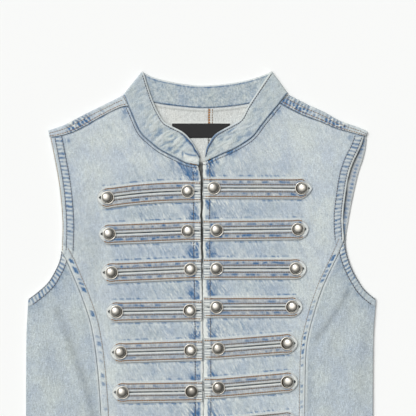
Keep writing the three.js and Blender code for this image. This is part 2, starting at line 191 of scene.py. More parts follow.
def line(rows):
    """A smooth line through the rows of a table, as a function of its share of length."""
    points = np.array(rows, float)
    count = len(points)

    def at(t):
        place = t * (count - 1)
        i = np.minimum(place.astype(int), count - 1)
        w = (place - i)[:, None]
        p0 = points[np.maximum(i - 1, 0)]
        p1 = points[i]
        p2 = points[np.minimum(i + 1, count - 1)]
        p3 = points[np.minimum(i + 2, count - 1)]
        v0, v1 = (p2 - p0) / 2, (p3 - p1) / 2
        return (2 * p1 - 2 * p2 + v0 + v1) * w**3 + (3 * p2 - 3 * p1 - 2 * v0 - v1) * w**2 + v0 * w + p1

    stops = np.linspace(0, 1, 201)
    lengths = lengths_along(at(stops))
    return lambda t: at(np.interp(np.clip(t, 0, 1) * lengths[-1], lengths, stops))


def moved(curve, dx, dy):
    return lambda t: curve(t) + (dx, dy)


def turned(curve):
    return lambda t: curve(1 - t)


def stretch(curve, start, end):
    return lambda t: curve(start + (end - start) * t)


def chain(first, share, second):
    """One line after another. The first ends at the given share of the whole."""
    def at(t):
        return np.where((t <= share)[:, None], first(t / share), second((t - share) / (1 - share)))
    return at


def end_of(curve, share):
    return curve(np.array([float(share)]))[0].tolist()


def patch(left, right, top, u, v):
    """The points of a surface between four lines, for shares u across and v upwards."""
    ends_left, ends_right = left(np.zeros(1))[0], right(np.zeros(1))[0]
    across = left(v)[:, None] * (1 - u)[None, :, None] + right(v)[:, None] * u[None, :, None]
    bottom = ends_left * (1 - u)[:, None] + ends_right * u[:, None]
    along = bottom[None] * (1 - v)[:, None, None] + top(u)[None] * v[:, None, None]
    ends = top(np.array([0.0, 1.0]))
    top_mix = ends[0] * (1 - u)[:, None] + ends[1] * u[:, None]
    corners = bottom[None] * (1 - v)[:, None, None] + top_mix[None] * v[:, None, None]
    return across + along - corners


def smooth(x, low, high):
    t = np.clip((x - low) / (high - low), 0, 1)
    return t * t * (3 - 2 * t)


def fall(x, low, high):
    return 1 - smooth(x, low, high)


def plateau(x, start, full, fading, end):
    """A smooth step up to 1 from start to full, and down again from fading to end."""
    return smooth(x, start, full) * fall(x, fading, end)


def bump(x, centre, width):
    return np.exp(-(((x - centre) / width) ** 2))


def x_at(rows, y):
    table = np.array(rows, float)
    return np.interp(y, table[:, 1], table[:, 0])


WAY = {"left": -1, "right": 1}  # from the front edge outwards


def front_edge(side, y):
    return x_at(CENTRE_LEFT if side == "left" else CENTRE_RIGHT, y)


neck_left = moved(stretch(line(NECK_LEFT), NECK_SHARE, 0), -GAP, -GAP)
below_collar = moved(stretch(line(NECK_RIGHT), 0, NECK_SHARE), GAP, -GAP)
neck_right = chain(line(CORNER_RIGHT), 1 / 8, below_collar)
seam_left = line([*SEAM_LEFT, end_of(neck_left, 0)])
seam_right = line([*SEAM_RIGHT, end_of(neck_right, 1)])
OUTLINE_LEFT = [*SIDE_LEFT, *UNDERARM_LEFT[1:], *ARMHOLE_LEFT[1:]]
OUTLINE_RIGHT = [*SIDE_RIGHT, *UNDERARM_RIGHT[1:], *ARMHOLE_RIGHT[1:]]


def front_z(x, y):
    """Height of the middle of the front's cloth, as in the frame."""
    edge = np.minimum(x - x_at(OUTLINE_LEFT, y), x_at(OUTLINE_RIGHT, y) - x)
    folds = np.zeros(x.shape)
    for x0, y0, x1, y1, width, rise in FOLDS:
        length = math.hypot(x1 - x0, y1 - y0)
        ax, ay = (x1 - x0) / length, (y1 - y0) / length
        along = (x - x0) * ax + (y - y0) * ay
        off = (y - y0) * ax - (x - x0) * ay
        folds += rise * plateau(along, -width, width, length - width, length + width) * bump(off, 0, width)
    stand = smooth(edge, 0, LOFT_REACH)
    return FRONT_Z + stand * (LOFT + folds) + NECK_RISE * smooth(y, NECK_FROM, NECK_TO)


# Noise and nearness

def hashed(i, j, seed):
    """A fixed pseudo-random share for each pair of whole numbers."""
    h = np.sin(i * 127.1 + j * 311.7 + seed * 74.7) * 43758.5453
    return h - np.floor(h)


def noise(x, y, seed):
    """Smooth noise from 0 to 1 with features one unit wide."""
    i, j = np.floor(x), np.floor(y)
    fx, fy = smooth(x - i, 0, 1), smooth(y - j, 0, 1)
    low = hashed(i, j, seed) * (1 - fx) + hashed(i + 1, j, seed) * fx
    high = hashed(i, j + 1, seed) * (1 - fx) + hashed(i + 1, j + 1, seed) * fx
    return low * (1 - fy) + high * fy


def streaks(x, y, angle, width, length, seed):
    """Noise in streaks that run at an angle, in degrees from the X axis."""
    c, s = math.cos(math.radians(angle)), math.sin(math.radians(angle))
    return noise((y * c - x * s) / width, (x * c + y * s) / length, seed)


def near(x, y, path, reach=45):
    """How far along a path each point lies, and how far off it. Points beyond reach keep a large distance."""
    along = np.zeros(x.shape)
    off = np.full(x.shape, 1000.0)
    low, high = path.min(0) - reach, path.max(0) + reach
    close = (x > low[0]) & (x < high[0]) & (y > low[1]) & (y < high[1])
    px, py = x[close], y[close]
    if not px.size:
        return along, off
    best = np.full(px.shape, 1e9)
    place = np.zeros(px.shape)
    start = 0
    for (ax, ay), (bx, by) in zip(path[:-1], path[1:]):
        length = math.hypot(bx - ax, by - ay)
        ux, uy = (bx - ax) / length, (by - ay) / length
        t = np.clip((px - ax) * ux + (py - ay) * uy, 0, length)
        d = (px - ax - t * ux) ** 2 + (py - ay - t * uy) ** 2
        closer = d < best
        best = np.where(closer, d, best)
        place = np.where(closer, start + t, place)
        start += length
    along[close] = place
    off[close] = np.sqrt(best)
    return along, off


def points_on(curve, spacing=4.0):
    """Points along a line, about spacing apart."""
    length = lengths_along(curve(np.linspace(0, 1, 400)))[-1]
    return curve(np.linspace(0, 1, max(3, int(length / spacing) + 1)))


def beside(path, distance):
    """The path moved sideways, to its right where distance is positive."""
    way = np.gradient(path, axis=0)
    way /= np.linalg.norm(way, axis=1)[:, None]
    return path + distance * np.stack([way[:, 1], -way[:, 0]], axis=1)


# Materials

def linear(red, green, blue):
    """A colour of 8-bit values as Blender's linear one."""
    shares = [c / 255 for c in (red, green, blue)]
    return [((share + 0.055) / 1.055) ** 2.4 if share > 0.04 else share / 12.92 for share in shares] + [1]


def fill(tree, node, inputs):
    """Link the sockets among the inputs to a node, and set the plain values."""
    for name, value in dict(inputs).items():
        if isinstance(value, bpy.types.NodeSocket):
            tree.links.new(value, node.inputs[name])
        else:
            node.inputs[name].default_value = value


def add_node(tree, kind, inputs=(), **settings):
    node = tree.nodes.new(kind)
    for name, value in settings.items():
        setattr(node, name, value)
    fill(tree, node, inputs)
    return node


class Nodes:
    """Short ways to add and link the nodes of one material."""

    def __init__(self, name):
        self.material = bpy.data.materials.new(name)
        self.material.use_nodes = True
        self.tree = self.material.node_tree
        self.shader = self.tree.nodes["Principled BSDF"]
        self.place = self.add("ShaderNodeTexCoord").outputs["Object"]

    def add(self, kind, inputs=(), **settings):
        return add_node(self.tree, kind, inputs, **settings)

    def noise(self, per_mm, detail=2, roughness=0.5, shift=0.0, distortion=0.0, turn=0):
        """Noise whose features are 1 / per_mm millimetres wide, along axes turned by some degrees."""
        axes = self.add("ShaderNodeMapping", {"Vector": self.place, "Rotation": [0, 0, math.radians(turn)]})
        place = self.add("ShaderNodeMapping", {
            "Vector": axes.outputs[0], "Scale": [share / MM for share in per_mm], "Location": [shift] * 3,
        })
        return self.add("ShaderNodeTexNoise", {
            "Vector": place.outputs[0], "Scale": 1, "Detail": detail,
            "Roughness": roughness, "Distortion": distortion,
        }).outputs[0]

    def span(self, value, low, high, to_low, to_high):
        inputs = {"Value": value, "From Min": low, "From Max": high, "To Min": to_low, "To Max": to_high}
        return self.add("ShaderNodeMapRange", inputs).outputs[0]

    def around_one(self, value, low, high, swing):
        """A factor that swings evenly around 1 as the value goes from low to high."""
        return self.span(value, low, high, 1 - swing, 1 + swing)

    def times(self, a, b):
        return self.add("ShaderNodeMath", {0: a, 1: b}, operation="MULTIPLY").outputs[0]

    def plus(self, a, b):
        return self.add("ShaderNodeMath", {0: a, 1: b}, operation="ADD").outputs[0]

    def mixed(self, share, a, b, blend="MIX"):
        node = self.add("ShaderNodeMix", {"Factor": share, 6: a, 7: b}, data_type="RGBA", blend_type=blend)
        return node.outputs[2]

    def attribute(self, name):
        return self.add("ShaderNodeAttribute", attribute_name=name).outputs["Fac"]

    def finished(self, inputs, height, strength, distance):
        """The material, with its shader's inputs and a relief of some strength and distance in mm."""
        bumps = {"Height": height, "Strength": strength, "Distance": distance * MM}
        relief = self.add("ShaderNodeBump", bumps).outputs[0]
        fill(self.tree, self.shader, {**inputs, "Normal": relief})
        return self.material


def denim(name, cool, warm, grain=1.0):
    """Washed denim with a pale inside. Attributes tell the outside, unfaded and rubbed cloth, and the tone,
    which also holds painted shade.
    """
    n = Nodes(name)
    cloud = n.noise((0.04, 0.026, 0.04), detail=4, roughness=0.6, shift=3.1)
    slub = n.noise((0.9, 0.16, 0.9), detail=3, roughness=0.6)
    fleck = n.noise((0.8, 0.7, 0.8), detail=3, roughness=0.8, shift=9.7)
    crinkle = n.noise((0.3, 0.26, 0.3), detail=5, roughness=0.8, shift=21.3, distortion=1.4)
    hair = n.noise((0.6, 0.12, 0.6), detail=3, roughness=0.65, shift=14.9, turn=HAIR_TURN)
    clouded = n.span(cloud, 0.35, 0.65, 0, 1)

    light = n.around_one(slub, 0.25, 0.75, 0.16 * grain)
    light = n.times(light, n.around_one(fleck, 0.25, 0.75, 0.3 * grain))
    light = n.times(light, n.around_one(crinkle, 0.3, 0.7, 0.07 * grain))
    light = n.times(light, n.plus(n.attribute("tone"), 1))
    colour = n.mixed(n.span(crinkle, 0.5, 0.25, 0, 0.3), n.mixed(clouded, cool, warm), UNFADED)
    tint = n.mixed(n.attribute("outside"), n.mixed(clouded, *INSIDE), colour)
    colour = n.mixed(1, tint, light, "MULTIPLY")

    broken = n.around_one(n.noise((0.8, 0.8, 0.8), detail=2, shift=5.3), 0.3, 0.7, 0.28)
    unfaded = n.times(n.attribute("blue"), broken)
    unfaded.node.use_clamp = True
    colour = n.mixed(unfaded, colour, UNFADED)
    colour = n.mixed(n.times(n.attribute("creased"), n.span(hair, 0.55, 0.3, 0, 0.5)), colour, UNFADED)
    ridge = n.times(n.attribute("creased"), n.span(hair, 0.54, 0.63, 0, 0.95))
    rubbed = n.plus(ridge, n.times(n.attribute("white"), broken))
    rubbed.node.use_clamp = True
    colour = n.mixed(rubbed, colour, RUBBED)

    turn = n.add("ShaderNodeMapping", {
        "Vector": n.place, "Scale": [1 / MM] * 3, "Rotation": [0, 0, math.radians(TWILL_TURN)],
    })
    twill = n.add("ShaderNodeTexWave", {
        "Vector": turn.outputs[0], "Scale": 0.36, "Distortion": 0.8, "Detail": 2,
    })
    weave = n.times(twill.outputs[1], 0.35)
    for layer, weight in ((slub, 0.8), (fleck, 0.7), (crinkle, 1.6), (ridge, 1.2)):
        weave = n.plus(weave, n.times(layer, weight))
    inputs = {"Base Color": colour, "Roughness": 0.92, "Specular IOR Level": 0.2}
    return n.finished({**inputs, "Sheen Weight": 0.12, "Sheen Roughness": 0.5}, weave, 0.55, 0.35)


def thread(name, colour, dark):
    n = Nodes(name)
    fibre = n.noise((1.6, 1.6, 1.6), detail=2)
    twisted = n.mixed(n.span(fibre, 0.35, 0.65, 0, 1), dark, colour)
    return n.finished({"Base Color": twisted, "Roughness": 0.75, "Specular IOR Level": 0.3}, fibre, 0.5, 0.1)


def metal(name):
    """Antique silver: bright where it is worn, brown with patina in its groove, and painted with shade round
    the foot of its dome.
    """
    n = Nodes(name)
    stain = n.noise((0.35, 0.35, 0.35), detail=4, roughness=0.6)
    colour = n.mixed(n.span(stain, 0.4, 0.75, 0, 0.45), linear(236, 232, 223), linear(158, 148, 132))
    colour = n.mixed(n.attribute("patina_and_shade"), colour, linear(58, 50, 40))
    rough = n.plus(n.span(stain, 0.3, 0.8, 0.14, 0.28), n.times(n.attribute("rim"), 0.22))
    rough = n.plus(rough, n.times(n.attribute("patina_and_shade"), 0.25))
    return n.finished({"Base Color": colour, "Metallic": 1, "Roughness": rough}, stain, 0.07, 0.4)


def woven_label(name):
    n = Nodes(name)
    weft = n.noise((3, 9, 3), detail=2)
    colour = n.mixed(weft, linear(10, 10, 11), linear(30, 30, 32))
    return n.finished({"Base Color": colour, "Roughness": 0.6, "Specular IOR Level": 0.35}, weft, 0.4, 0.1)


HAIR_TURN = -30  # degrees: fine creases run down to the right
TWILL_TURN = 62
UNFADED = linear(60, 103, 146)
RUBBED = linear(222, 226, 222)
INSIDE = (linear(203, 207, 206), linear(208, 210, 206))
FRONT = denim("denim_front", linear(186, 196, 204), linear(199, 207, 206))
SIDE = denim("denim_side", linear(175, 186, 195), linear(187, 196, 196), 1.25)
NECK = denim("denim_collar", linear(172, 184, 193), linear(187, 196, 194), 1.15)
FROG = denim("denim_frog", linear(166, 174, 182), linear(181, 183, 182), 1.15)
BACK = denim("denim_back", linear(176, 188, 196), linear(194, 200, 201), 1.3)
BROWN_THREAD = thread("thread_brown", linear(178, 134, 88), linear(108, 84, 62))
GREY_THREAD = thread("thread_grey", linear(112, 106, 104), linear(68, 70, 78))
PALE_THREAD = thread("thread_pale", linear(172, 146, 118), linear(118, 110, 104))
TAUPE_THREAD = thread("thread_taupe", linear(142, 124, 108), linear(84, 78, 76))
ORANGE_THREAD = thread("thread_orange", linear(206, 150, 90), linear(160, 108, 62))
SILVER = metal("antique_silver")
BLACK = woven_label("label_black")


# Meshes

def clipped(**looks):
    """The looks of a cloth as a mesh's attributes: shares from 0 to 1, and a tone with painted shade that may
    be below 0.
    """
    return {name: values if name == "tone" else np.clip(values, 0, 1) for name, values in looks.items()}


class Cloth:
    """The look of a panel at each point of its flat grid: rise in millimetres, tone with painted shade, and
    three shares.
    """

    def __init__(self, points):
        self.x, self.y = points[..., 0], points[..., 1]
        self.rise, self.blue, self.white, self.tone, self.creased = (np.zeros(self.x.shape) for _ in range(5))

    def near(self, path):
        return near(self.x, self.y, path)

    def attributes(self):
        return clipped(blue=self.blue, white=self.white, tone=self.tone, creased=self.creased)


def add_float(mesh, name, values):
    mesh.attributes.new(name, "FLOAT", "POINT").data.foreach_set("value", np.asarray(values, np.float32))


def shell(name, outer, inner, material, attributes=None, outside=(1, 0), order=1):
    """A closed wall between two grids, of which the second may have half as many rows and columns.

    outside tells for each of them how far it is the cloth's outside.
    An order of -1 takes the columns backwards.
    """
    outer, inner = outer[:, ::order], inner[:, ::order]
    step = (outer.shape[0] - 1) // (inner.shape[0] - 1)
    fine = np.arange(outer.shape[0] * outer.shape[1]).reshape(outer.shape[:2])
    coarse = fine.size + np.arange(inner.shape[0] * inner.shape[1]).reshape(inner.shape[:2])

    def quads(grid):
        return np.stack([grid[:-1, :-1], grid[:-1, 1:], grid[1:, 1:], grid[1:, :-1]], axis=-1).reshape(-1, 4)

    faces = quads(fine).tolist() + quads(coarse)[:, ::-1].tolist()
    edges = [
        (fine[0], coarse[0]), (fine[:, -1], coarse[:, -1]),
        (fine[-1, ::-1], coarse[-1, ::-1]), (fine[::-1, 0], coarse[::-1, 0]),
    ]
    for rim, base in edges:
        for k in range(len(base) - 1):
            faces.append([*rim[k * step:k * step + step + 1][::-1].tolist(), int(base[k]), int(base[k + 1])])
    points = np.concatenate([outer.reshape(-1, 3), inner.reshape(-1, 3)]) * MM
    mesh = bpy.data.meshes.new(name)
    mesh.from_pydata(points.tolist(), [], faces)
    for key, values in (attributes or {}).items():
        values = values[:, ::order]
        under = values[::step, ::step] if outside == (1, 1) else np.zeros(inner.shape[:2])
        add_float(mesh, key, np.concatenate([values.ravel(), under.ravel()]))
    add_float(mesh, "outside", np.repeat(outside, [fine.size, coarse.size]))
    return finished(name, mesh, material)


def finished(name, mesh, material):
    mesh.polygons.foreach_set("use_smooth", np.ones(len(mesh.polygons), bool))
    mesh.materials.append(material)
    mesh.update()
    piece = bpy.data.objects.new(name, mesh)
    bpy.context.collection.objects.link(piece)
    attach(piece, "root")
    return piece


STITCH_STOPS = np.array([0, 0.18, 0.82, 1])
STITCH_LIFT = np.array([-0.12, 0.16, 0.16, -0.12])
STITCH_SECTION = ((1, 0), (0, 0.7), (-1, 0), (0, -0.7))


class Threads:
    """Rows of stitches of one colour on one cloth, gathered into one mesh."""

    def __init__(self):
        self.points = []
        self.faces = []

    def row(self, path, pitch=3.2, length=2.9, width=1.15):
        """Stitches along a path of points [x, y, z] on the cloth."""
        place = lengths_along(path)
        for k, start in enumerate(np.arange(0.3, place[-1] - length, pitch)):
            first = len(self.points)
            shift = 0.2 * (hashed(k, first, 5) - 0.5)
            stops = start + STITCH_STOPS * length
            spine = np.stack([np.interp(stops, place, path[:, c]) for c in range(3)], axis=1)
            way = spine[-1] - spine[0]
            way /= np.linalg.norm(way)
            side = np.array([way[1], -way[0], 0])
            side /= np.linalg.norm(side)
            up = np.cross(side, way)
            if up[2] < 0:
                up = -up
            spine = spine + STITCH_LIFT[:, None] * up + side * shift
            self.points.append(spine[0])
            for ring in spine[1:3]:
                for a, b in STITCH_SECTION:
                    self.points.append(ring + side * a * width / 2 + up * b * width / 2)
            self.points.append(spine[3])
            last = first + 9
            for q in range(4):
                r = (q + 1) % 4
                self.faces.append([first, first + 1 + q, first + 1 + r])
                self.faces.append([first + 1 + q, first + 5 + q, first + 5 + r, first + 1 + r])
                self.faces.append([first + 5 + q, last, first + 5 + r])

    def piece(self, name, material):
        mesh = bpy.data.meshes.new(name)
        mesh.from_pydata((np.array(self.points) * MM).tolist(), [], self.faces)
        return finished(name, mesh, material)


def sewn(name, rows):
    """The stitches on one cloth, as one piece for each colour, from rows of [material, path, options]."""
    threads = {}
    for material, path, options in rows:
        threads.setdefault(material.name, (material, Threads()))[1].row(path, **options)
    return [stitches.piece(f"{key}_{name}", material) for key, (material, stitches) in threads.items()]


def height_on(points, path):
    """The path lifted on to the nearest points of a cloth's upper face, without what lies off it."""
    reach = 2.5
    flat = points.reshape(-1, 3)
    lifted = []
    for x, y in path:
        close = flat[(np.abs(flat[:, 0] - x) < reach) & (np.abs(flat[:, 1] - y) < reach)]
        weight = np.exp(-((close[:, 0] - x) ** 2 + (close[:, 1] - y) ** 2) / 0.5)
        if weight.sum() > 1e-6:
            lifted.append((x, y, float((close[:, 2] * weight).sum() / weight.sum())))
    return np.array(lifted)


# The wash: how sewn edges look

def strength_along(along, table):
    """The strength at each place along a seam, from a table in columns [place, strength]."""
    rows = np.array(table, float)
    return np.interp(along, rows[:, 0], rows[:, 1])


def rungs_along(along, period, seed, uneven=0.5, width=0.3):
    """Uneven rungs across a seam where the thread pulls the cloth: 1 in each valley, 0 on each ridge."""
    place = along / period + 0.7 * noise(along / 23, 0, seed)
    k = np.floor(place)
    share = place - k
    return bump(share, 0.5, width) * (1 - uneven + uneven * hashed(k, 1, seed))


def ladder(cloth, path, near_edge, far_edge, period, seed, blue, white, depth, table):
    """Puckers between two lines beside a path: blue valleys with painted shade, and rubbed ridges."""
    along, off = cloth.near(path)
    inside = plateau(off, near_edge - 0.5, near_edge + 0.7, far_edge - 0.7, far_edge + 0.5)
    strength = inside * strength_along(along, table)
    rungs = rungs_along(along + 0.25 * off + 1.3 * noise(along / 3, off / 3, seed + 1), period, seed)
    worn = 0.15 + 1.3 * noise(along / 2.1, off / 2.4, seed + 2)
    ends = 1 + 0.25 * (bump(off, near_edge, 1.6) + bump(off, far_edge, 1.6))
    cloth.blue += blue * rungs * worn * ends * strength
    cloth.white += white * (1 - rungs) ** 2 * strength
    cloth.rise += depth * (0.4 - rungs) * strength
    # painted shade in the valleys
    cloth.tone -= 0.32 * rungs * strength


def blotches(cloth, path, width, marks, seed):
    """Unfaded blotches along a flat-felled seam, in columns [y, half length, strength]."""
    x, y = cloth.x, cloth.y
    off = cloth.near(path)[1]
    band = plateau(off, 0.3 * width, 0.44 * width, 0.78 * width, 0.9 * width)
    ragged = y + 1.8 * (noise(x / 1.9, y / 1.9, seed) - 0.5) + 0.35 * (off - width / 2)
    dark = np.zeros(x.shape)
    for level, half, strength in marks:
        dark = np.maximum(dark, strength * smooth(half - np.abs(ragged - level), -0.3, 0.9))
    cloth.blue += 0.95 * dark * band
    rubbed = 0.2 * (1 - dark) * noise(x / 4, y / 4, seed + 1) - 0.1 * dark
    cloth.white += rubbed * band + 0.15 * bump(off, 1.6, 1)
    cloth.rise += (0.2 - 0.5 * dark) * band


def groove(cloth, path, at, blue, shade, depth=0.3):
    """A line of stitches pulls the cloth down and keeps it from fading, and its groove is painted with shade.
    """
    along, off = cloth.near(path)
    row = bump(off, at, 0.7)
    cloth.rise -= depth * row
    cloth.blue += blue * row * (0.5 + noise(along / 4, 0, 31))
    # painted shade in the groove
    cloth.tone -= shade * row


def lip(cloth, path, width=1.1, white=0.0, drop=0.5, rise=0.0, rise_to=0.0):
    """A folded edge: it rolls down, is rubbed pale, and its layers stand up to rise_to from the edge."""
    along, off = cloth.near(path)
    cloth.rise -= drop * fall(off, 0, width)
    cloth.white += white * bump(off, width, width) * (0.4 + 1.2 * noise(along / 5, 0, 17))
    cloth.rise += rise * fall(off, rise_to, rise_to + 1.6)


def halo(cloth, path, start, fade, blue, seed):
    """Less faded cloth beyond a seam, in short streaks that run away from it."""
    along, off = cloth.near(path)
    streak = noise(along / 2.2, off / 9, seed) ** 2
    beyond = np.where(off > start, np.exp(-(off - start) / fade), 0)
    cloth.blue += blue * beyond * (0.25 + 1.1 * streak)


# The frogs' lines

PATCH_ANGLE = {"left": -58, "right": -48}
PATCH_STRENGTH = {"left": 1, "right": 0.55}
HANGING = {"left": (0.85, 6), "right": (2.0, 10)}  # strength and size of the patches below the frogs


def frog_y(row, x):
    outer_x, outer_y, inner_x, inner_y, bow = row
    along = np.clip((x - inner_x) / (outer_x - inner_x), 0, 1)
    return inner_y + (outer_y - inner_y) * along**bow


def around_frogs(cloth, side):
    """Puckers above and below each frog, unfaded patches where the frogs meet the front edge, painted shadow
    under each frog and painted shade in its slit.
    """
    x, y = cloth.x, cloth.y
    inward = (x - front_edge(side, y)) * WAY[side]
    half = SLIT / 2 + RUN
    for k, row in enumerate(FROGS[side]):
        outer_x = abs(row[0])
        reach = outer_x + TIP - 7
        level = y - frog_y(row, x)
        upper = level > 0
        over = np.abs(level) - half
        span = smooth(inward, 0, 3) * fall(np.abs(x), reach - 3, reach + 2)

        # the puckers beside the run
        lane = np.where(upper, 2.3, 1.9)
        dash = smooth(noise(x / 2.2 + 0.3 * level, 9 * upper, 41 + k), 0.35, 0.62)
        strong = 0.25 + 0.75 * smooth(noise(x / 17, 5 * upper, 43 + k), 0.2, 0.7)
        cloth.blue += (0.6 * dash + 0.3) * strong * bump(over, lane, 0.9) * span
        cloth.white += 0.4 * bump(over, lane - 1.9, 0.9) * span
        cloth.white += 0.3 * bump(over, lane + 1, 1.6) * (1 - dash) * span
        cloth.rise -= 0.3 * bump(over, lane, 1.0) * span
        # painted shadow along the frog's lower edge
        cloth.tone -= 0.3 * bump(over, 0.1, 0.9) * ~upper * span
        fading = np.where(over > 0, np.exp(-over / 5), 0)
        cloth.blue += 0.2 * fading * smooth(streaks(x, y, -65, 2, 8, 47), 0.4, 0.8) * span

        # the unfaded patch above its inner end
        above = level - half
        patch_size = 8 + 7 * hashed(k, 3, 8)
        streak = streaks(x, y, PATCH_ANGLE[side], 1.7, 9, 53 + k)
        corner = plateau(inward, 2, 4, 10, 18 + 0.5 * np.clip(above, 0, 14))
        deep = corner * np.where(above > 0.5, np.exp(-((above / patch_size) ** 2)), 0) * PATCH_STRENGTH[side]
        cloth.blue += 2.0 * deep * (0.32 + 0.68 * smooth(streak, 0.12, 0.36))
        cloth.rise += 0.5 * deep * (0.5 - streak)
        cloth.white *= 1 - 0.85 * deep * smooth(streak, 0.12, 0.35)
        cloth.creased *= 1 - 0.6 * deep

        # the smaller one below it
        below = -level - half
        corner = plateau(inward, 2, 3.5, 7, 15 - 0.4 * np.clip(below, 0, 14))
        strength, size = HANGING[side]
        hanging = strength * corner * np.where(below > 0.5, np.exp(-((below / size) ** 2)), 0)
        cloth.blue += hanging * smooth(streaks(x, y, -70, 1.7, 7, 67 + k), 0.15, 0.5)
        cloth.creased *= 1 - 0.25 * hanging

        # the bluer cloth between the rows, and the shade in the slit
        between_rows = smooth(inward, 6, 20) * fall(np.abs(x), reach - 30, reach + 6)
        cloth.blue += (0.12 if k < 4 else 0.08) * between_rows * bump(over, 9, 14)
        slit = bump(level, 0, 2.0 + 1.6 * smooth(np.abs(x), outer_x + 5, outer_x + 8))
        slit = slit * fall(np.abs(x), outer_x + 11, outer_x + 12.5)
        cloth.tone -= (0.6 + 0.35 * noise(x / 9, 0, 91 + k)) * slit


def creases(cloth, side):
    """Fine slanting creases over the whole of a front, strongest near the frogs' inner ends."""
    x, y = cloth.x, cloth.y
    close = 0.22 + 0.78 * np.exp(-np.abs(x * WAY[side] - 12) / 42)
    cloth.creased += close * (0.35 + 0.65 * smooth(noise(x / 14, y / 10, 75), 0.3, 0.7))
    ridge = smooth(streaks(x, y, -60, 1.8, 9, 71) * streaks(x, y, -50, 6, 15, 73), 0.32, 0.5)
    cloth.white += 0.3 * ridge * close
    cloth.rise += 0.4 * ridge * close
    valley = smooth(streaks(x, y, -63, 1.9, 13, 79) * streaks(x, y, -55, 8, 15, 81), 0.36, 0.6)
    cloth.blue += 0.3 * valley * close
    cloth.rise -= 0.25 * valley * close
    cloth.tone += 0.05 * (noise(x / 37, y / 45, 83) - 0.5) + 0.05 * (noise(x / 13, y / 17, 89) - 0.5)
    cloth.tone += 0.1 * (noise(x / 1.9, y / 1.9, 87) - 0.5)
    if side == "left":
        # a patch of painted shade, a little bluer, between the armhole and the frogs' outer ends
        painted_shade_patch = bump(x, -139, 14) * bump(y, 18, 52)
        cloth.tone -= 0.09 * painted_shade_patch
        cloth.blue += 0.08 * painted_shade_patch


# Front panels

LEAST_RISE = -1.05  # the upper face stays above the lower one


def front_panel(side, part, cloth, material, rows):
    """A front panel from its flat grid and look, with rows of stitches as [thread, line, distance, width]."""
    x, y = cloth.x, cloth.y
    middle = front_z(x, y)
    top = raised(x, y, middle + DENIM / 2 + np.maximum(cloth.rise, LEAST_RISE))
    lower = raised(x, y, middle - DENIM / 2)[::2, ::2]
    piece = shell(f"cloth_front_{side}_{part}", top, lower, material, cloth.attributes())
    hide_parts(f"front_{side}_{part}")
    stitches = sewn(f"front_{side}_{part}", [
        (colour, height_on(top, beside(points_on(curve, 2), distance)), {"width": width})
        for colour, curve, distance, width in rows
    ])


# The shaded sides of folds, as [line, width, shade]
SHADES = {
    "left": [
        [[[-186, -46], [-175, -72], [-163, -106], [-150, -138], [-141, -166], [-134, -204]], 5.5, 0.17],
        [[[-158, -120], [-146, -160], [-138, -210]], 8, 0.05],
    ],
    "right": [
        [[[190, -25], [174, -54], [158, -77], [142, -101]], 4.2, 0.24],
        [[[146, -96], [139, -140], [136, -190]], 5, 0.07],
        [[[206, -70], [204, -150], [203, -220]], 5, 0.05],
    ],
}


def fold_shades(cloth, side):
    """Cloth in the shade of a fold is a little darker and lower."""
    for rows, width, shade in SHADES[side]:
        path = points_on(line(rows))
        along, off = cloth.near(path)
        length = lengths_along(path)[-1]
        dark = shade * plateau(along, 0.3, 2 * width, length - 3 * width, length - 0.3)
        dark = dark * bump(off, 0, width * (0.8 + 0.4 * noise(along / 20, 0, 241)))
        cloth.tone -= dark
        cloth.rise -= 4 * dark


def grid(columns, rows, inset):
    """Shares across and up for a panel's grid, with its seam gaps left open."""
    u = inset[0] + (1 - inset[0] - inset[1]) * np.linspace(0, 1, columns + 1)
    v = (1 - inset[2]) * np.linspace(0, 1, rows + 1)
    return u, v


SEAM_ACROSS = SEAM / 100
SEAM_UP = SEAM / 400
CENTRE_GRID = (150, 380)
SIDE_GRID = (88, 200)
BACK_GRID = (150, 220)

princess = {"left": line(PRINCESS_LEFT), "right": line(PRINCESS_RIGHT)}
armhole = {"left": line(ARMHOLE_LEFT), "right": line(ARMHOLE_RIGHT)}
underarm = {"left": line(UNDERARM_LEFT), "right": line(UNDERARM_RIGHT)}
side_edge = {"left": line(SIDE_LEFT), "right": line(SIDE_RIGHT)}
centre = {"left": line(CENTRE_LEFT), "right": line(CENTRE_RIGHT)}
neck_edge = {"left": neck_left, "right": neck_right}
shoulder_seam = {"left": seam_left, "right": seam_right}

# Blotches along the princess seams, in columns [y, half length, strength]
PRINCESS_MARKS = {
    "left": [
        [7, 2.8, 1], [-4.4, 4.4, 1], [-15.8, 1.2, 0.8], [-21.5, 1.8, 0.9], [-29.1, 3.2, 1],
        [-59.4, 4.4, 0.85], [-67, 1.2, 0.4], [-89.1, 1.8, 0.5], [-97.5, 3, 0.7],
        [-108.1, 1.5, 0.45], [-119.1, 2, 0.4],
        [-138, 3, 0.7], [-148, 2.4, 0.7], [-163, 1.5, 0.3], [-179.6, 2.4, 0.5],
        [-198, 2, 0.5], [-214, 3, 0.5],
    ],
    "right": [
        [11, 4, 1], [1.1, 2.8, 1], [-5.7, 1.8, 0.75], [-11.5, 2.4, 0.85], [-17.8, 2.4, 0.9], [-28, 1.4, 0.3],
        [-44.5, 1.8, 0.5], [-50.8, 1.6, 0.5], [-57.8, 4.2, 0.6], [-67.9, 1.8, 0.7], [-75.2, 1.8, 0.5],
        [-83.9, 1.8, 0.75], [-90.2, 2.4, 0.95], [-99.2, 2.2, 0.95], [-107.3, 3, 0.9], [-115.5, 1.8, 0.5],
        [-124.5, 1.8, 0.6], [-150.7, 2.4, 0.6], [-157.9, 2, 0.5], [-170.5, 2, 0.5], [-177.6, 2.4, 0.55],
        [-196, 2, 0.5], [-212, 3, 0.5],
    ],
}

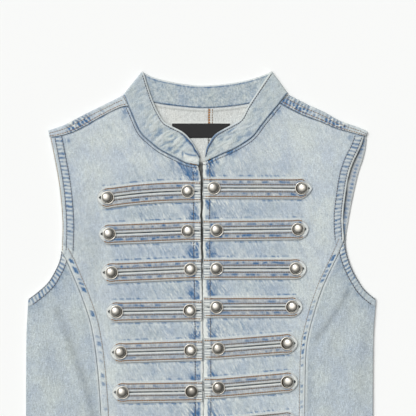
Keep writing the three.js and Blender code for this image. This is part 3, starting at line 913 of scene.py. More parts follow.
# The strength of the puckers along each seam, in columns [place, strength]
ARMHOLE_STRENGTH = {
    "left": [[0, 0.25], [15, 0.4], [30, 0.9], [60, 1], [120, 1], [150, 0.7]],
    "right": [[0, 0.2], [12, 0.8], [40, 1], [60, 0.5], [85, 0.6], [105, 1], [150, 0.9]],
}
UNDERARM_STRENGTH = {
    "left": [[0, 0.8], [20, 0.6], [32, 0.7], [50, 1], [66, 1.2]],
    "right": [[0, 0.1], [28, 0.2], [42, 0.5], [58, 1], [84, 1]],
}
# the strength of the unfaded line and painted shadow under the shoulder's strip
SHOULDER_SEAM = {
    "left": [[0, 0.7], [20, 0.4], [45, 0.6], [55, 1.3], [72, 1.2], [82, 0.5], [120, 0.9]],
    "right": [[0, 0.9], [30, 0.6], [55, 0.3], [75, 0.9], [115, 1.1]],
}

# Unfaded corners beside the shoulder seam, in columns [x, y, size]
SHOULDER_SPOTS = {
    "left": [[-96, 197, 4.5], [-97, 188, 3], [-174, 160, 4.5], [-167, 158, 4]],
    "right": [[100, 198, 4.5], [92, 192, 3], [188, 163, 4.5], [181, 160, 3]],
}

# Rows of stitches, by their distances from the edges
ARMHOLE_ROWS = {"left": (6.6, 15.4), "right": (3.2, 11.8)}
UNDERARM_ROWS = (1.2, 9.2)
FRONT_ROW = {"left": 9.9, "right": 8.9}
NECK_ROW = 3.4
PRINCESS_BAND = {"left": 9.3, "right": 7.0}


def parted(y):
    """How far the front edges stand apart: 1 above the third row of frogs, 0 from the fourth row down."""
    return smooth(y, -50, 20)


def waved(points, side):
    """The front edges wave a little, both alike. They part at the top and nearly touch at the bottom."""
    y = points[..., 1]
    off = np.abs(points[..., 0] - front_edge(side, y))
    wave = 1.5 * (noise(y / 11, 0, 251) - 0.5) + 0.8 * (noise(y / 4, 0, 253) - 0.5)
    own = (0.4 + 0.8 * noise(y / 5, 0, 257)) * (-1 if side == "left" else 0.4) * parted(y)
    own = own - WAY[side] * 0.25 * (1 - parted(y))
    if side == "left":
        own = own - 1.7 * bump(y, 123, 4)
    points = points.copy()
    points[..., 0] += (wave + own) * np.exp(-off / 4) * fall(y, 127, 131)
    return points


def centre_panel(side):
    """The front panel between the princess seam and the front edge."""
    share = PRINCESS_SHARE_LEFT if side == "left" else PRINCESS_SHARE_RIGHT
    outer = chain(princess[side], share, armhole[side])
    if side == "left":
        top = chain(seam_left, SHOULDER_PART, neck_left)
        u, v = grid(*CENTRE_GRID, (SEAM_ACROSS, 0, SEAM_UP))
        points = patch(outer, centre[side], top, u, v)
    else:
        top = chain(neck_right, 1 - SHOULDER_PART, turned(seam_right))
        u, v = grid(*CENTRE_GRID, (0, SEAM_ACROSS, SEAM_UP))
        points = patch(centre[side], outer, top, u, v)
    points = waved(points, side)
    cloth = Cloth(points)
    creases(cloth, side)
    around_frogs(cloth, side)
    armhole_edge(cloth, side)
    edge = points_on(princess[side])
    band = PRINCESS_BAND[side]
    lip(cloth, edge, width=0.9, white=0.35, drop=0.25, rise=0.3, rise_to=band - 0.7)
    blotches(cloth, edge, band, PRINCESS_MARKS[side], 11)
    groove(cloth, edge, band, blue=0.2, depth=0.2, shade=0.08)
    shoulder_edge(cloth, side)
    neck_seam(cloth, side)
    under_collar(cloth, side)
    closing_edge(cloth, side)
    hem(cloth)

    rows = [(GREY_THREAD, armhole[side], -WAY[side] * distance, 1.0) for distance in ARMHOLE_ROWS[side]]
    if side == "left":
        rows.append((BROWN_THREAD, armhole[side], 1.8, 0.8))
    rows.append((PALE_THREAD, princess[side], -WAY[side] * band, 0.75))
    rows.append((GREY_THREAD, neck_edge[side], NECK_ROW, 0.9))
    rows.append((GREY_THREAD, centre[side], WAY[side] * FRONT_ROW[side], 1.15))
    front_panel(side, "centre", cloth, FRONT, rows)


def armhole_edge(cloth, side):
    """The turned edge of the armhole, with its ladder of puckers between two rows of stitches."""
    edge = points_on(armhole[side])
    near_row, far_row = ARMHOLE_ROWS[side]
    lip(cloth, edge, white=1.2, drop=0.7 if side == "left" else 0.4, rise=0.35, rise_to=far_row)
    cloth.tone += 0.1 * bump(cloth.near(edge)[1], 1.0, 0.9)
    ladder(cloth, edge, near_row + 0.4, far_row - 0.4, 5.2, 3, 1.35, 0.55, 0.7, ARMHOLE_STRENGTH[side])
    groove(cloth, edge, near_row, blue=0.4, shade=0.2)
    groove(cloth, edge, far_row, blue=0.5, shade=0.25)
    halo(cloth, edge, far_row + 0.8, 5, 0.18, 7)


def shoulder_edge(cloth, side):
    """The edge under the shoulder's strip: an unfaded line with painted shadow along it, and unfaded corners
    at its ends.
    """
    edge = points_on(shoulder_seam[side])
    along, off = cloth.near(edge)
    cloth.rise -= 0.55 * fall(off, 0, 7)
    dark = strength_along(along, SHOULDER_SEAM[side]) * (0.45 + 0.8 * noise(along / 6, 0, 249))
    cloth.blue += dark * bump(off, 0.3, 0.8)
    # painted shadow along the strip's edge
    cloth.tone -= 0.45 * dark * bump(off, 0.1, 0.7)
    cloth.white += 0.25 * bump(off, 2.4, 0.9)
    halo(cloth, edge, 1.2, 4, 0.2, 19)
    for spot_x, spot_y, size in SHOULDER_SPOTS[side]:
        spot = bump(cloth.x, spot_x, size) * bump(cloth.y, spot_y, size)
        cloth.blue += 0.6 * spot * smooth(streaks(cloth.x, cloth.y, -75, 1.8, 6, 247), 0.2, 0.7)


def neck_seam(cloth, side):
    """The seam that joins the front to the collar."""
    edge = points_on(neck_edge[side])
    lip(cloth, edge, width=0.9)
    along, off = cloth.near(edge)
    cloth.blue += 0.5 * bump(off, 0.2, 0.9) * (0.4 + 0.9 * noise(along / 8, 0, 21))
    # painted shadow under the collar's edge
    cloth.tone -= 0.2 * bump(off, 0.2, 0.8)
    cloth.rise += 0.15 * bump(off, 2, 1)
    cloth.blue += 0.3 * bump(off, 2, 0.9) * smooth(noise(along / 6, 0, 33), 0.4, 0.7)
    groove(cloth, edge, NECK_ROW, blue=0.5, shade=0.1)
    halo(cloth, edge, 4.5, 5, 0.3, 23)


def closing_edge(cloth, side):
    """The front edge: rubbed to a cream band, frayed, and painted with shade along its very edge, most where
    it stands off the other edge.
    """
    edge = points_on(centre[side])
    lip(cloth, edge, width=1.2, drop=0.9, rise=0.25, rise_to=10)
    along, off = cloth.near(edge)
    cream = 1.2 if side == "left" else 1.8 + 0.8 * (1 - parted(cloth.y))
    mottled = 0.55 + 0.6 * noise(along / 2.6, off / 1.6, 39)
    cloth.white += 1.15 * mottled * bump(off, 1.0 + cream / 2, cream)
    # painted shade along the very edge, stronger where the edges part
    dark = 0.15 + 0.65 * parted(cloth.y)
    cloth.tone -= dark * fall(off, 0, 0.6 + 1.1 * noise(along / 4, 0, 35))
    cloth.blue += 0.6 * smooth(noise(off / 1.5, along / 2.6, 25), 0.5, 0.8) * plateau(off, 2.4, 3.2, 7, 9)
    cloth.white += 0.35 * smooth(noise(off / 1.9, along / 1.7, 27), 0.5, 0.8) * fall(off, 8, 10)
    groove(cloth, edge, FRONT_ROW[side], blue=0.3, shade=0.15)


def under_collar(cloth, side):
    """Unfaded cloth under the ends of the collar, in streaks."""
    x, y = cloth.x, cloth.y
    off = cloth.near(points_on(neck_edge[side]))[1]
    if side == "left":
        streak = streaks(x, y, -52, 2.0, 12, 97)
        where = 0.8 * plateau(x, -42, -34, -18, -11) * bump(off, 6, 3.5)
        tuft = bump(x, -9, 6.5) * bump(y, 110.5, 6) + 0.35 * bump(x, -16, 5) * bump(y, 119, 4)
    else:
        streak = streaks(x, y, -84, 2.2, 12, 99)
        where = plateau(x, 5, 8, 34, 52) * bump(off, 0, 10)
        tuft = bump(x, 10, 3) * bump(y, 124, 12) * 0.7
    cloth.white *= 1 - 0.85 * np.clip(tuft, 0, 1)
    cloth.blue += 0.95 * where * smooth(streak, 0.3, 0.62) + 1.3 * tuft * smooth(streak, 0.05, 0.35)
    cloth.white += 0.4 * where * smooth(streak, 0.4, 0.15)
    cloth.rise += 0.4 * (where + tuft) * (0.5 - streak)


def hem(cloth):
    """The turned hem and its puckers."""
    up = cloth.y - HEM
    cloth.rise += 0.35 * fall(up, 19, 21) - 0.6 * fall(up, 0, 1.2)
    rungs = rungs_along(cloth.x + up * 0.5, 5.8, 29)
    band = plateau(up, 2.5, 4, 17, 19)
    cloth.blue += 0.5 * rungs * band
    cloth.white += 0.4 * (1 - rungs) * band + 0.4 * bump(up, 0.8, 1)
    cloth.rise += 0.4 * (0.4 - rungs) * band


def side_panel(side):
    """The side panel under the arm."""
    if side == "left":
        u, v = grid(*SIDE_GRID, (0, SEAM_ACROSS, SEAM_UP))
        points = patch(side_edge[side], princess[side], underarm[side], u, v)
    else:
        u, v = grid(*SIDE_GRID, (SEAM_ACROSS, 0, SEAM_UP))
        points = patch(princess[side], side_edge[side], turned(underarm[side]), u, v)
    cloth = Cloth(points)
    x, y = cloth.x, cloth.y
    cloth.tone += 0.05 * (noise(x / 31, y / 43, 101) - 0.5) + 0.04 * (noise(x / 11, y / 15, 103) - 0.5)
    fold_shades(cloth, side)
    edge = points_on(underarm[side])
    lip(cloth, edge, width=0.9, white=0.35, drop=0.7, rise=0.35, rise_to=10)
    near_row, far_row = UNDERARM_ROWS
    ladder(cloth, edge, near_row + 0.6, far_row - 0.6, 4.7, 37, 1.7, 0.75, 0.6, UNDERARM_STRENGTH[side])
    groove(cloth, edge, near_row, blue=0.5, shade=0.25)
    groove(cloth, edge, far_row, blue=0.45, shade=0.25)
    halo(cloth, edge, 10, 7, 0.5, 41)
    edge = points_on(princess[side])
    lip(cloth, edge, width=1.0, white=0.3, drop=0.25)
    off = cloth.near(edge)[1]
    cloth.rise += 0.25 * bump(off, 2.2, 1.3)
    cloth.white += 0.15 * bump(off, 2.2, 1.0)
    cloth.blue += 0.3 * bump(off, 0.2, 0.7)
    halo(cloth, edge, 3, 6, 0.15, 43)
    armpit_x, armpit_y = end_of(princess[side], 1)
    from_armpit = np.hypot(x - armpit_x, y - armpit_y)
    streak = streaks(x, y, -90 + 10 * WAY[side], 2, 14, 45)
    cloth.blue += 0.4 * np.exp(-from_armpit / 16) * (0.4 + 0.9 * streak)
    hem(cloth)
    rows = [(GREY_THREAD, underarm[side], -WAY[side] * distance, 1.15) for distance in UNDERARM_ROWS]
    front_panel(side, "side", cloth, SIDE, rows)


# Backs and shoulders

BACK_NECK = moved(line(NECK_BACK), 0, -GAP)
HIDDEN = 1  # how far the back's left armhole lies inside the front's


def back_lines():
    """The outer lines of the back, its middle, and the tops of its two halves."""
    armhole_left = [[x + HIDDEN, y] for x, y in [*UNDERARM_LEFT, *ARMHOLE_LEFT[1:-1]]]
    left = chain(moved(line(SIDE_LEFT), GAP, 0), SIDE_SHARE, line([*armhole_left, FOLD_LEFT[0]]))
    right = chain(moved(line(SIDE_RIGHT), -GAP, 0), SIDE_SHARE, line(BACK_ARMHOLE_RIGHT))
    middle = line([*CENTRE_BACK[:-1], end_of(BACK_NECK, CENTRE_SHARE)])
    left_top = chain(line(FOLD_LEFT), BACK_SHOULDER, stretch(BACK_NECK, 0, CENTRE_SHARE))
    right_top = chain(stretch(BACK_NECK, CENTRE_SHARE, 1), 1 - BACK_SHOULDER, turned(line(FOLD_RIGHT)))
    return left, right, middle, left_top, right_top


# Rows of stitches along the centre-back seam, as (thread above the label, distance from the seam).
# Below the label they are grey and thin, and they end above the turned hem.
CENTRE_BACK_ROWS = {
    "left": [(ORANGE_THREAD, -0.7)],
    "right": [(ORANGE_THREAD, 0.5), (PALE_THREAD, 3.8)],
}
HEM_TURN = 7


def back_panel(side):
    """Half of the back, inside up."""
    left, right, middle, left_top, right_top = back_lines()
    u, v = grid(*BACK_GRID, (0, 0, 0))
    if side == "left":
        points = patch(left, moved(middle, -SEAM, 0), left_top, u, v)
    else:
        points = patch(moved(middle, SEAM, 0), right, right_top, u, v)
    cloth = Cloth(points)
    x, y = cloth.x, cloth.y
    off = cloth.near(points_on(middle))[1]
    cloth.rise += 0.25 * fall(off, 7.5, 9) - 0.35 * fall(off, 0, 0.9)
    cloth.tone -= 0.25 * bump(off, 0, 0.8)
    cloth.tone += 0.05 * (noise(x / 19, y / 23, 107) - 0.5)
    cloth.white += 0.2 * noise(x / 3, y / 9, 109)
    # painted shade on the back where it shows through the gap between the front edges, darker where they part
    opening = (front_edge("left", y) + front_edge("right", y)) / 2
    dark = 0.4 + 0.55 * parted(y)
    cloth.tone -= dark * fall(np.abs(x - opening), 4, 6) * fall(y, 130, 134)
    off = cloth.near(points_on(BACK_NECK))[1]
    # a blue line along the neck seam, painted shadow of the collar's edge
    cloth.blue += 0.5 * fall(off, 0.6, 1.8)
    cloth.white += 0.4 * bump(off, 2.6, 0.9)
    cloth.rise += 0.3 * bump(off, 2.4, 1.5) - 0.25 * bump(off, 4.6, 0.9)
    cloth.tone -= 0.35 * bump(off, 4.4, 1.0)
    cloth.white += 0.9 * bump(y, LABEL_BOX["y"][1] + 1, 1.3) * (np.abs(x) < LABEL_BOX["x"][1])
    if side == "right":
        along, off = cloth.near(points_on(line(BACK_ARMHOLE_RIGHT)))
        rungs = rungs_along(along, 5.2, 61)
        band = fall(off, 10, 11.5)
        cloth.blue += (1.2 * rungs * bump(off, 4.5, 2.4) + 0.14) * band
        cloth.tone -= 0.06 * band
        cloth.white += 0.3 * bump(off, 0.8, 0.8)
        cloth.rise += (0.4 - 0.5 * rungs) * band - 0.5 * fall(off, 0, 1)
        # painted shadow cast by the front's armhole edge on the back, broken along its length
        along, off = cloth.near(points_on(armhole["right"]))
        cloth.tone -= 0.93 * bump(off, 0.4, 1.9) * smooth(noise(along / 5, 0, 65), 0.05, 0.4)
    # the fronts lie close above all but the right edge
    rise = np.clip(cloth.rise, -0.6, 0.28 + 0.6 * (x > 180))
    top = raised(x, y, BACK_Z + DENIM / 2 + rise)
    lower = raised(x, y, BACK_Z - DENIM / 2)[::2, ::2]
    piece = shell(f"cloth_back_{side}", top, lower, BACK, cloth.attributes(), outside=(0, 1))
    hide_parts(f"back_{side}")
    stitches = []
    for colour, distance in CENTRE_BACK_ROWS[side]:
        path = beside(points_on(line(CENTRE_BACK), 2), distance)
        above = path[:, 1] > LABEL_BOX["y"][0]
        below = ~above & (path[:, 1] > HEM + HEM_TURN)
        stitches.append((colour, height_on(top, path[above]), {"width": 1.2}))
        stitches.append((GREY_THREAD, height_on(top, path[below]), {"width": 0.8}))
    sewn(f"back_{side}", stitches)


SHOULDER_LADDER = {
    "left": [
        [0, 0.05], [20, 0.1], [27, 1.3], [53, 1.5], [58, 0.3], [68, 0.25], [72, 0.5], [76, 0.1], [110, 0.1],
    ],
    "right": [[0, 0.1], [22, 0.1], [29, 1.4], [52, 1.3], [56, 0.5], [74, 0.5], [80, 1], [108, 1.2]],
}
SHOULDER_SEED = {"left": 113, "right": 117}
SHOULDER_STEPS = 120
BEND_STEPS = 6
STRIP_STEPS = 14
SHOULDER_RISE = 0.7  # from the fold to the seam
SHOULDER_ROWS = {0.3: PALE_THREAD, 0.78: BROWN_THREAD}  # by their share of the strip's width


def shoulder(side):
    """The strip of the back that comes over the shoulder to the seam on the front."""
    fold = line(FOLD_LEFT) if side == "left" else line(FOLD_RIGHT)
    t = np.linspace(0, 1, SHOULDER_STEPS + 1)
    foot, end = fold(t), shoulder_seam[side](t) + (WAY[side] * SEAM, SEAM + GAP)
    out = np.array(FOLD_OUT[side]) / np.linalg.norm(FOLD_OUT[side])
    along = lengths_along(foot)
    strength = strength_along(along, SHOULDER_LADDER[side])
    outer, inner, blue, white, tone = [], [], [], [], []
    for k in range(BEND_STEPS + STRIP_STEPS + 1):
        turn = min(1, k / BEND_STEPS) * math.pi
        share = max(0, k - BEND_STEPS) / STRIP_STEPS
        facing = np.array([out[0] * math.sin(turn), out[1] * math.sin(turn), -math.cos(turn)])
        middle = raised(foot[:, 0], foot[:, 1], BACK_Z + SHOULDER_BEND) + facing * SHOULDER_BEND
        middle[:, :2] += (end - middle[:, :2]) * share
        middle[:, 2] += SHOULDER_RISE * share
        inside = 1 if share else 0.7
        waved_along = along + WAY[side] * 5 * share + 40 + 2 * noise(along / 3, 4 * share, 121)
        rungs = rungs_along(waved_along, 4.8, SHOULDER_SEED[side], uneven=0.3, width=0.42)
        rungs = rungs * (0.3 + 0.9 * smooth(noise(along / 3.1, 5 * share, 123), 0.1, 0.5))
        rise = strength * (0.6 - 1.3 * rungs) * inside * (1 - 0.6 * bump(share, 1, 0.12))
        rise = rise - 0.5 * bump(share, 1.02, 0.06)
        for row in SHOULDER_ROWS:
            rise = rise - 0.3 * bump(share, row, 0.07)
        rise = np.maximum(rise, LEAST_RISE)
        outer.append(middle + facing * (DENIM / 2 + rise[:, None]))
        inner.append(middle - facing * DENIM / 2)
        lower = 0.45 + 0.55 * smooth(share, 0.2, 0.45)
        blue.append(1.1 * rungs * strength * inside * lower + 0.5 * bump(share, 1, 0.05))
        white.append((1 - np.clip(rungs, 0, 1)) ** 3 * (0.8 * strength + 0.2) + 0.3 * bump(share, 0.9, 0.06))
        # painted shade in the valleys of the puckers, over a tone that varies at random
        tone.append(0.05 * (noise(along / 6, k, 119) - 0.5) - 0.2 * rungs * strength)
    outer, inner, blue, white, tone = (np.array(rows) for rows in (outer, inner, blue, white, tone))
    looks = clipped(blue=blue, white=white, tone=tone)
    piece = shell(f"cloth_shoulder_{side}", outer, inner, FRONT, looks, order=WAY[side])
    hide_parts(f"back_{side}")
    stitches = sewn(f"shoulder_{side}", [
        (colour, outer[BEND_STEPS + round(share * STRIP_STEPS)], {"width": 1.0})
        for share, colour in SHOULDER_ROWS.items()
    ])


# Collar

COLLAR_STEPS = 34
END_STEPS = 140
COLLAR_ROW = 2.9  # from the collar's top edge


def collar_band():
    """The band's lower and upper edges, the way it faces, and 1 on its front ends but 0 at the back.

    It runs across its left end, round a fold, along the back of the neck, round a fold
    and across its right end.
    """
    parts = [
        (line(NECK_LEFT), line(TOP_LEFT), np.linspace(0, 1, END_STEPS + 1), 1.0),
        (NECK_LEFT[-1], TOP_LEFT[-1], np.linspace(1, 0, 11)[1:], -1),
        (line(NECK_BACK), line(TOP_BACK), np.linspace(0, 1, 171)[1:], 0.0),
        (NECK_RIGHT[-1], TOP_RIGHT[-1], np.linspace(0, 1, 11)[1:], 1),
        (line(NECK_RIGHT), line(TOP_RIGHT), np.linspace(1, 0, END_STEPS + 1)[1:], 1.0),
    ]
    low, high, facing, front = [], [], [], []
    for foot, head, shares, side in parts:
        if callable(foot):
            low.extend(foot(shares))
            high.extend(head(shares))
            facing.extend([[0, 0, 2 * side - 1]] * len(shares))
            front.extend([side] * len(shares))
            continue
        way = np.subtract(head, foot) / np.linalg.norm(np.subtract(head, foot))
        out = np.array([side * way[1], -side * way[0], 0])
        low.extend([foot] * len(shares))
        high.extend([head] * len(shares))
        facing.extend(out * math.sin(math.pi * t) - (0, 0, math.cos(math.pi * t)) for t in shares)
        front.extend(shares)
    return tuple(np.array(rows, float) for rows in (low, high, facing, front))


def collar_look(x, y, along, from_neck, from_top, front):
    """The rise of the collar's cloth and its wash."""
    # slanting creases on the front ends, and rubbed edges
    slant = streaks(x, y, 28, 2.0, 7, 227) * 0.6 + 0.4 * streaks(x, y, 48, 3, 11, 229)
    soft = smooth(slant, 0.42, 0.7)
    close = (bump(x, -40, 26) + 0.75 * bump(x, 38, 30) + 0.2) * front
    close = close * smooth(from_neck, 1, 4) * smooth(from_top, 2, 5)
    wavy = noise(along / 5, 0, 3)
    rise = 0.7 * (soft - 0.4) * close - 0.5 * fall(from_top, 0, 1.4) - 0.35 * fall(from_neck, 0, 0.9)
    rise = rise - 0.3 * bump(from_top, COLLAR_ROW, 0.7) * front + 0.3 * bump(from_top, 1.4, 1.0)
    blue = 0.55 * smooth(slant, 0.42, 0.2) * close
    blue = blue + (0.35 + 0.4 * bump(x, 0, 30)) * bump(from_top, COLLAR_ROW, 0.8) * front * wavy
    blue = blue + 0.8 * bump(from_neck, 0.3, 1.0) * (0.6 + 0.6 * noise(along / 7, 0, 5))
    blue = blue + (1 - front) * (0.75 * bump(from_top, 2.4, 0.9) * (0.5 + wavy) + 0.07)
    white = 0.75 * bump(from_top, 0.9, 0.9) + 0.45 * soft * close + 0.1 * bump(from_neck, 2.2, 0.8) * front
    # the tone varies at random, and painted shade darkens the collar's lower edge
    tone = 0.06 * (noise(along / 13, from_neck / 11, 131) - 0.5) - 0.03 * (1 - front)
    tone = tone + 0.12 * (noise(along / 2, from_neck / 2, 137) - 0.5) - 0.2 * bump(from_neck, 0, 0.8)

    # the mottled back
    grain = noise(along / 1.6, from_neck / 1.9, 139) * (1 - front)
    blue = blue + 0.22 * smooth(grain, 0.5, 0.9)
    white = white + 0.3 * smooth(grain, 0.5, 0.1) * (1 - front)

    # the rubbed tab near the left tip, and the blue tips where the ends meet
    tab = plateau(x, -24, -22, -5, -3.5) * bump(from_neck, 6.5, 3.8) * front
    rim = plateau(x, -23, -19, -7, -4) * bump(from_neck, 11 + 0.1 * (x + 14), 1.3)
    rim = np.maximum(rim, bump(x, -23, 1.4) * bump(from_neck, 8, 4)) * front
    white = (white + 0.75 * tab) * (1 - 0.9 * rim)
    blue = blue * (1 - tab) + 0.9 * rim
    tips = bump(from_top, 3.4 + 2 * (wavy - 0.5), 1.7) * bump(x, -6, 18) * (x < 0)
    tips = (tips + bump(from_top, 1.6 + 1.5 * (wavy - 0.5), 1.7) * bump(x, 8, 20) * (x > 0)) * front
    blue = blue + 1.3 * tips
    white = white * (1 - 0.9 * np.clip(tips, 0, 1))
    return rise, clipped(blue=blue, white=white, tone=tone - 0.25 * tips)


def collar():
    """The stand band, pressed flat with its two upper corners folded."""
    low, high, facing, front = collar_band()
    share = np.linspace(0, 1, COLLAR_STEPS + 1)[None, :, None]
    flat = low[:, None] * (1 - share) + high[:, None] * share
    height = np.linalg.norm(high - low, axis=1)[:, None]
    along = lengths_along((low + high) / 2)[:, None]
    x, y, front, facing = flat[..., 0], flat[..., 1], front[:, None], facing[:, None]
    rise, looks = collar_look(x, y, along, share[..., 0] * height, (1 - share[..., 0]) * height, front)
    middle = raised(x, y, BACK_COLLAR_Z + COLLAR_BEND) + facing * COLLAR_BEND
    outer = middle + facing * (COLLAR / 2 + rise * front)[..., None]
    inner = middle - facing * (COLLAR / 2 + rise * (1 - front))[..., None]
    piece = shell("cloth_collar", outer, inner, NECK, looks, outside=(1, 1))
    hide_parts("collar")
    stitches = []
    for tip in (slice(2, 13), slice(-9, -2)):
        stitches.append((BROWN_THREAD, outer[tip, 1] + (0, 0, 0.2), {"width": 1.0}))
    for part in (slice(0, END_STEPS + 1), slice(-END_STEPS - 1, None)):
        from_head = COLLAR_ROW / height[part]
        path = outer[part, -1] * (1 - from_head) + outer[part, 0] * from_head
        path[:, 2] = BACK_COLLAR_Z + 2 * COLLAR_BEND + COLLAR / 2 - 0.15
        stitches.append((GREY_THREAD, path, {}))
    sewn("collar", stitches)


# Frogs, buttons and label

FROG_BLUE = {"left": [0.8, 1.1, 1.1, 0.75, 0.5, 0.5, 0.5], "right": [0.95, 1.15, 1.05, 0.85, 0.6, 0.65, 0.55]}
TIP_BEND = {"left": [1.8, 1.8, 1.8, 1.9, 1.8, 1.8, 1.8], "right": [1.4, 1.9, 1.85, 1.8, 1.75, 1.8, 1.8]}
HOLE = 11.0
RUN_STEPS = 96
TIP_STEPS = 28
ACROSS_STEPS = 16
EDGE_ROW = 2.7  # the frog's two rows of stitches, from its outer edge
INNER_ROW = 8.8
BARS_END = 6.5  # the bar of stitches at the front edge


def frog_grid(side, k, edge):
    """A frog's grid: x, y, place along it, share across it, and 1 to -1 from its upper to its lower run."""
    row = FROGS[side][k]
    outer_x = row[0]
    ones, zeros = np.ones(RUN_STEPS + 1), np.zeros(TIP_STEPS - 1)
    t = np.concatenate([np.linspace(0, 1, RUN_STEPS + 1), zeros + 1, np.linspace(1, 0, RUN_STEPS + 1)])
    round_tip = math.pi * (0.5 - np.arange(1, TIP_STEPS) / TIP_STEPS)
    angle = np.concatenate([ones * math.pi / 2, round_tip, -ones * math.pi / 2])
    on_tip = np.concatenate([ones * 0, zeros + 1, ones * 0])[:, None]
    share = np.linspace(0, 1, ACROSS_STEPS + 1)[None]
    half_slit = SLIT / 2 + 2.8 * smooth(t, 0.94, 1)[:, None]
    reach = half_slit + (SLIT / 2 + RUN - half_slit) * share
    c, s = np.cos(angle)[:, None] * on_tip, np.sin(angle)[:, None]
    power = TIP_BEND[side][k]
    mitre = (np.abs(c) ** power + np.abs(s) ** power) ** (-1 / power)
    middle_x = (edge + (outer_x - edge) * t)[:, None]
    x = middle_x + WAY[side] * c * mitre * (HOLE + (TIP - HOLE) * share)
    y = frog_y(row, middle_x) + s * reach * mitre
    place = lengths_along(np.column_stack([x[:, -4], y[:, -4]]))[:, None]
    return x, y, place, share, s


def frog_look(side, k, edge, x, y, place, share, run):
    """The rise of a frog's cloth, its wash, and painted shade in its grooves, along its slit and on its lower
    run's outer edge.
    """
    seed = 151 + k * 7 + (50 if side == "right" else 0)
    from_edge = RUN * (1 - share)
    beyond = smooth((x - FROGS[side][k][0]) * WAY[side], 3, 8)
    wave = noise(place / 2.6, from_edge / 3, seed)
    core = 5.9 + 1.6 * (noise(place / 8, 0, seed + 4) - 0.5)
    dash = smooth(noise(place / 3.6, 0.5, seed + 1), 0.38, 0.66) * (1 - beyond)
    rise = -1.0 * fall(from_edge, 0, 1.3) ** 2 - 0.9 * fall(RUN - from_edge, 0, 1.2) ** 2
    rows = 0.55 * bump(from_edge, EDGE_ROW, 0.9) + 0.45 * bump(from_edge, INNER_ROW, 0.9)
    rise = rise - rows * (1 - beyond)
    rise = rise + 0.25 * (wave - 0.5) * smooth(from_edge, 0, 1.5) - 0.3 * dash * bump(from_edge, core, 1.2)
    strength = FROG_BLUE[side][k] * (0.4 + 0.9 * noise(place / 16, 0, seed + 5))
    blue = 0.95 * dash * bump(from_edge, core, 1.15) + 0.22 * bump(from_edge, 7.6, 1.2) * wave
    mottled = 0.3 + 0.9 * noise(place / 1.7, from_edge / 1.6, seed + 7)
    blue = blue + 0.25 * bump(from_edge, 5.9, 2.2) * mottled
    blue = blue + 0.3 * bump(from_edge, 10.2, 0.9) * smooth(noise(place / 3, 0, seed + 2), 0.4, 0.8)
    blue = blue * strength
    white = 0.75 * bump(from_edge, 0.7, 0.8) + 0.9 * bump(from_edge, 11.7, 0.8)
    white = white + 0.35 * (1 - dash) * bump(from_edge, 4.6, 1.1) * wave
    white = white + 0.75 * beyond * smooth(from_edge, 2.5, 5)
    worn = noise(place / 1.5, from_edge / 1.4, seed + 8)
    white = white + 0.3 * smooth(worn, 0.55, 0.85) * bump(from_edge, 5.9, 2.4) * (1 - dash)
    # painted shade along the slit, in the stitch rows' grooves and on the lower run's outer edge; the rest of
    # the tone varies at random
    tone = 0.14 * (wave - 0.5) + 0.16 * (worn - 0.5) - 0.3 * bump(from_edge, RUN, 0.7)
    rows = 0.4 * bump(from_edge, EDGE_ROW, 1.1) + 0.28 * bump(from_edge, INNER_ROW, 1.1)
    tone = tone - rows * (1 - beyond)
    tone = tone - 0.25 * fall(from_edge, 0, 0.8) * (run < 0)

    # the bar of stitches that covers the end at the front edge, with painted shade between its stitches and
    # at its ends
    inward = np.abs(x - edge)
    bars = fall(inward, BARS_END, BARS_END + 2)
    bar = smooth(np.sin((y - FROGS[side][k][3]) * 2 * math.pi / 3.3), -0.9, 0.1)
    white = white * (1 - bars) + 0.95 * bar * bars * smooth(inward, 0.2, 1.2)
    blue = blue * (1 - bars) + 0.25 * (1 - bar) * bars * wave
    tone = tone * (1 - bars) - 0.22 * (1 - bar) * bars - 0.3 * fall(inward, 0, 0.8)
    tone = tone - 0.4 * bump(inward, 9.4, 0.9)
    return rise + 0.35 * (bar - 0.5) * bars, clipped(blue=blue, white=white, tone=tone)


def frog(side, k):
    """One folded strip: out along the upper run, round the mitred end and back along the lower run."""
    edge = float(front_edge(side, FROGS[side][k][3])) + WAY[side] * EDGE_GAP
    x, y, place, share, run = frog_grid(side, k, edge)
    rise, looks = frog_look(side, k, edge, x, y, place, share, run)
    base = front_z(x, y) + DENIM / 2 + GAP
    top = raised(x, y, base + STRAP + rise)
    lower = raised(x, y, base)[::2, ::2]
    name = f"frog_{side}_{k + 1}"
    piece = shell(f"cloth_{name}", top, lower, FROG, looks, outside=(1, 1), order=-WAY[side])
    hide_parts(name)
    stitches = []
    edge_thread = BROWN_THREAD if k < 6 else TAUPE_THREAD
    for distance, colour, first, past in ((EDGE_ROW, edge_thread, 0, 6), (INNER_ROW, TAUPE_THREAD, 8, 0)):
        column = (1 - distance / RUN) * ACROSS_STEPS
        low = int(column)
        path = top[:, low] * (1 - column + low) + top[:, low + 1] * (column - low)
        for run_path in (path[first:RUN_STEPS + past], path[-RUN_STEPS - past:len(path) - first]):
            stitches.append((colour, run_path, {"pitch": 3.05, "width": 1.4}))
    sewn(name, stitches)


def button_foot(x, y):
    """The height of a button's foot, over the highest cloth under its middle and its brim."""
    angles = np.arange(8) * math.pi / 4
    around = np.append(BRIM * np.cos(angles), 0), np.append(BRIM * np.sin(angles), 0)
    return float(front_z(x + around[0], y + around[1]).max()) + DENIM / 2 + GAP + STRAP + GAP


DOME = 7.0
DOME_FOOT = 0.85
DOME_RISE = 4.5
DOME_RINGS = 14
# patina, and painted shade, darkest at the dome's foot and fading upwards
DOME_PATINA_AND_SHADE = (1, 0.8, 0.5, 0.3, 0.18, 0.1)  # from its foot upwards
BUTTON_SIDES = 40
APEX_SHIFT = 1.5  # how far a crooked dome's top lies off its foot
DOME_SHIFT = 0.7  # how far a crooked dome's foot lies off the brim's middle

# The rolled brim, in columns [radius, height, stain]
BRIM_RINGS = [
    [7.4, 0, 0], [8.2, 0.2, 0], [8.35, 0.6, 0], [8.25, 1.05, 0], [8.05, 1.22, 0],
    [7.75, 1.28, 0], [7.4, 1.22, 0], [7.2, 0.95, 0.5], [7.1, 0.7, 1],
]


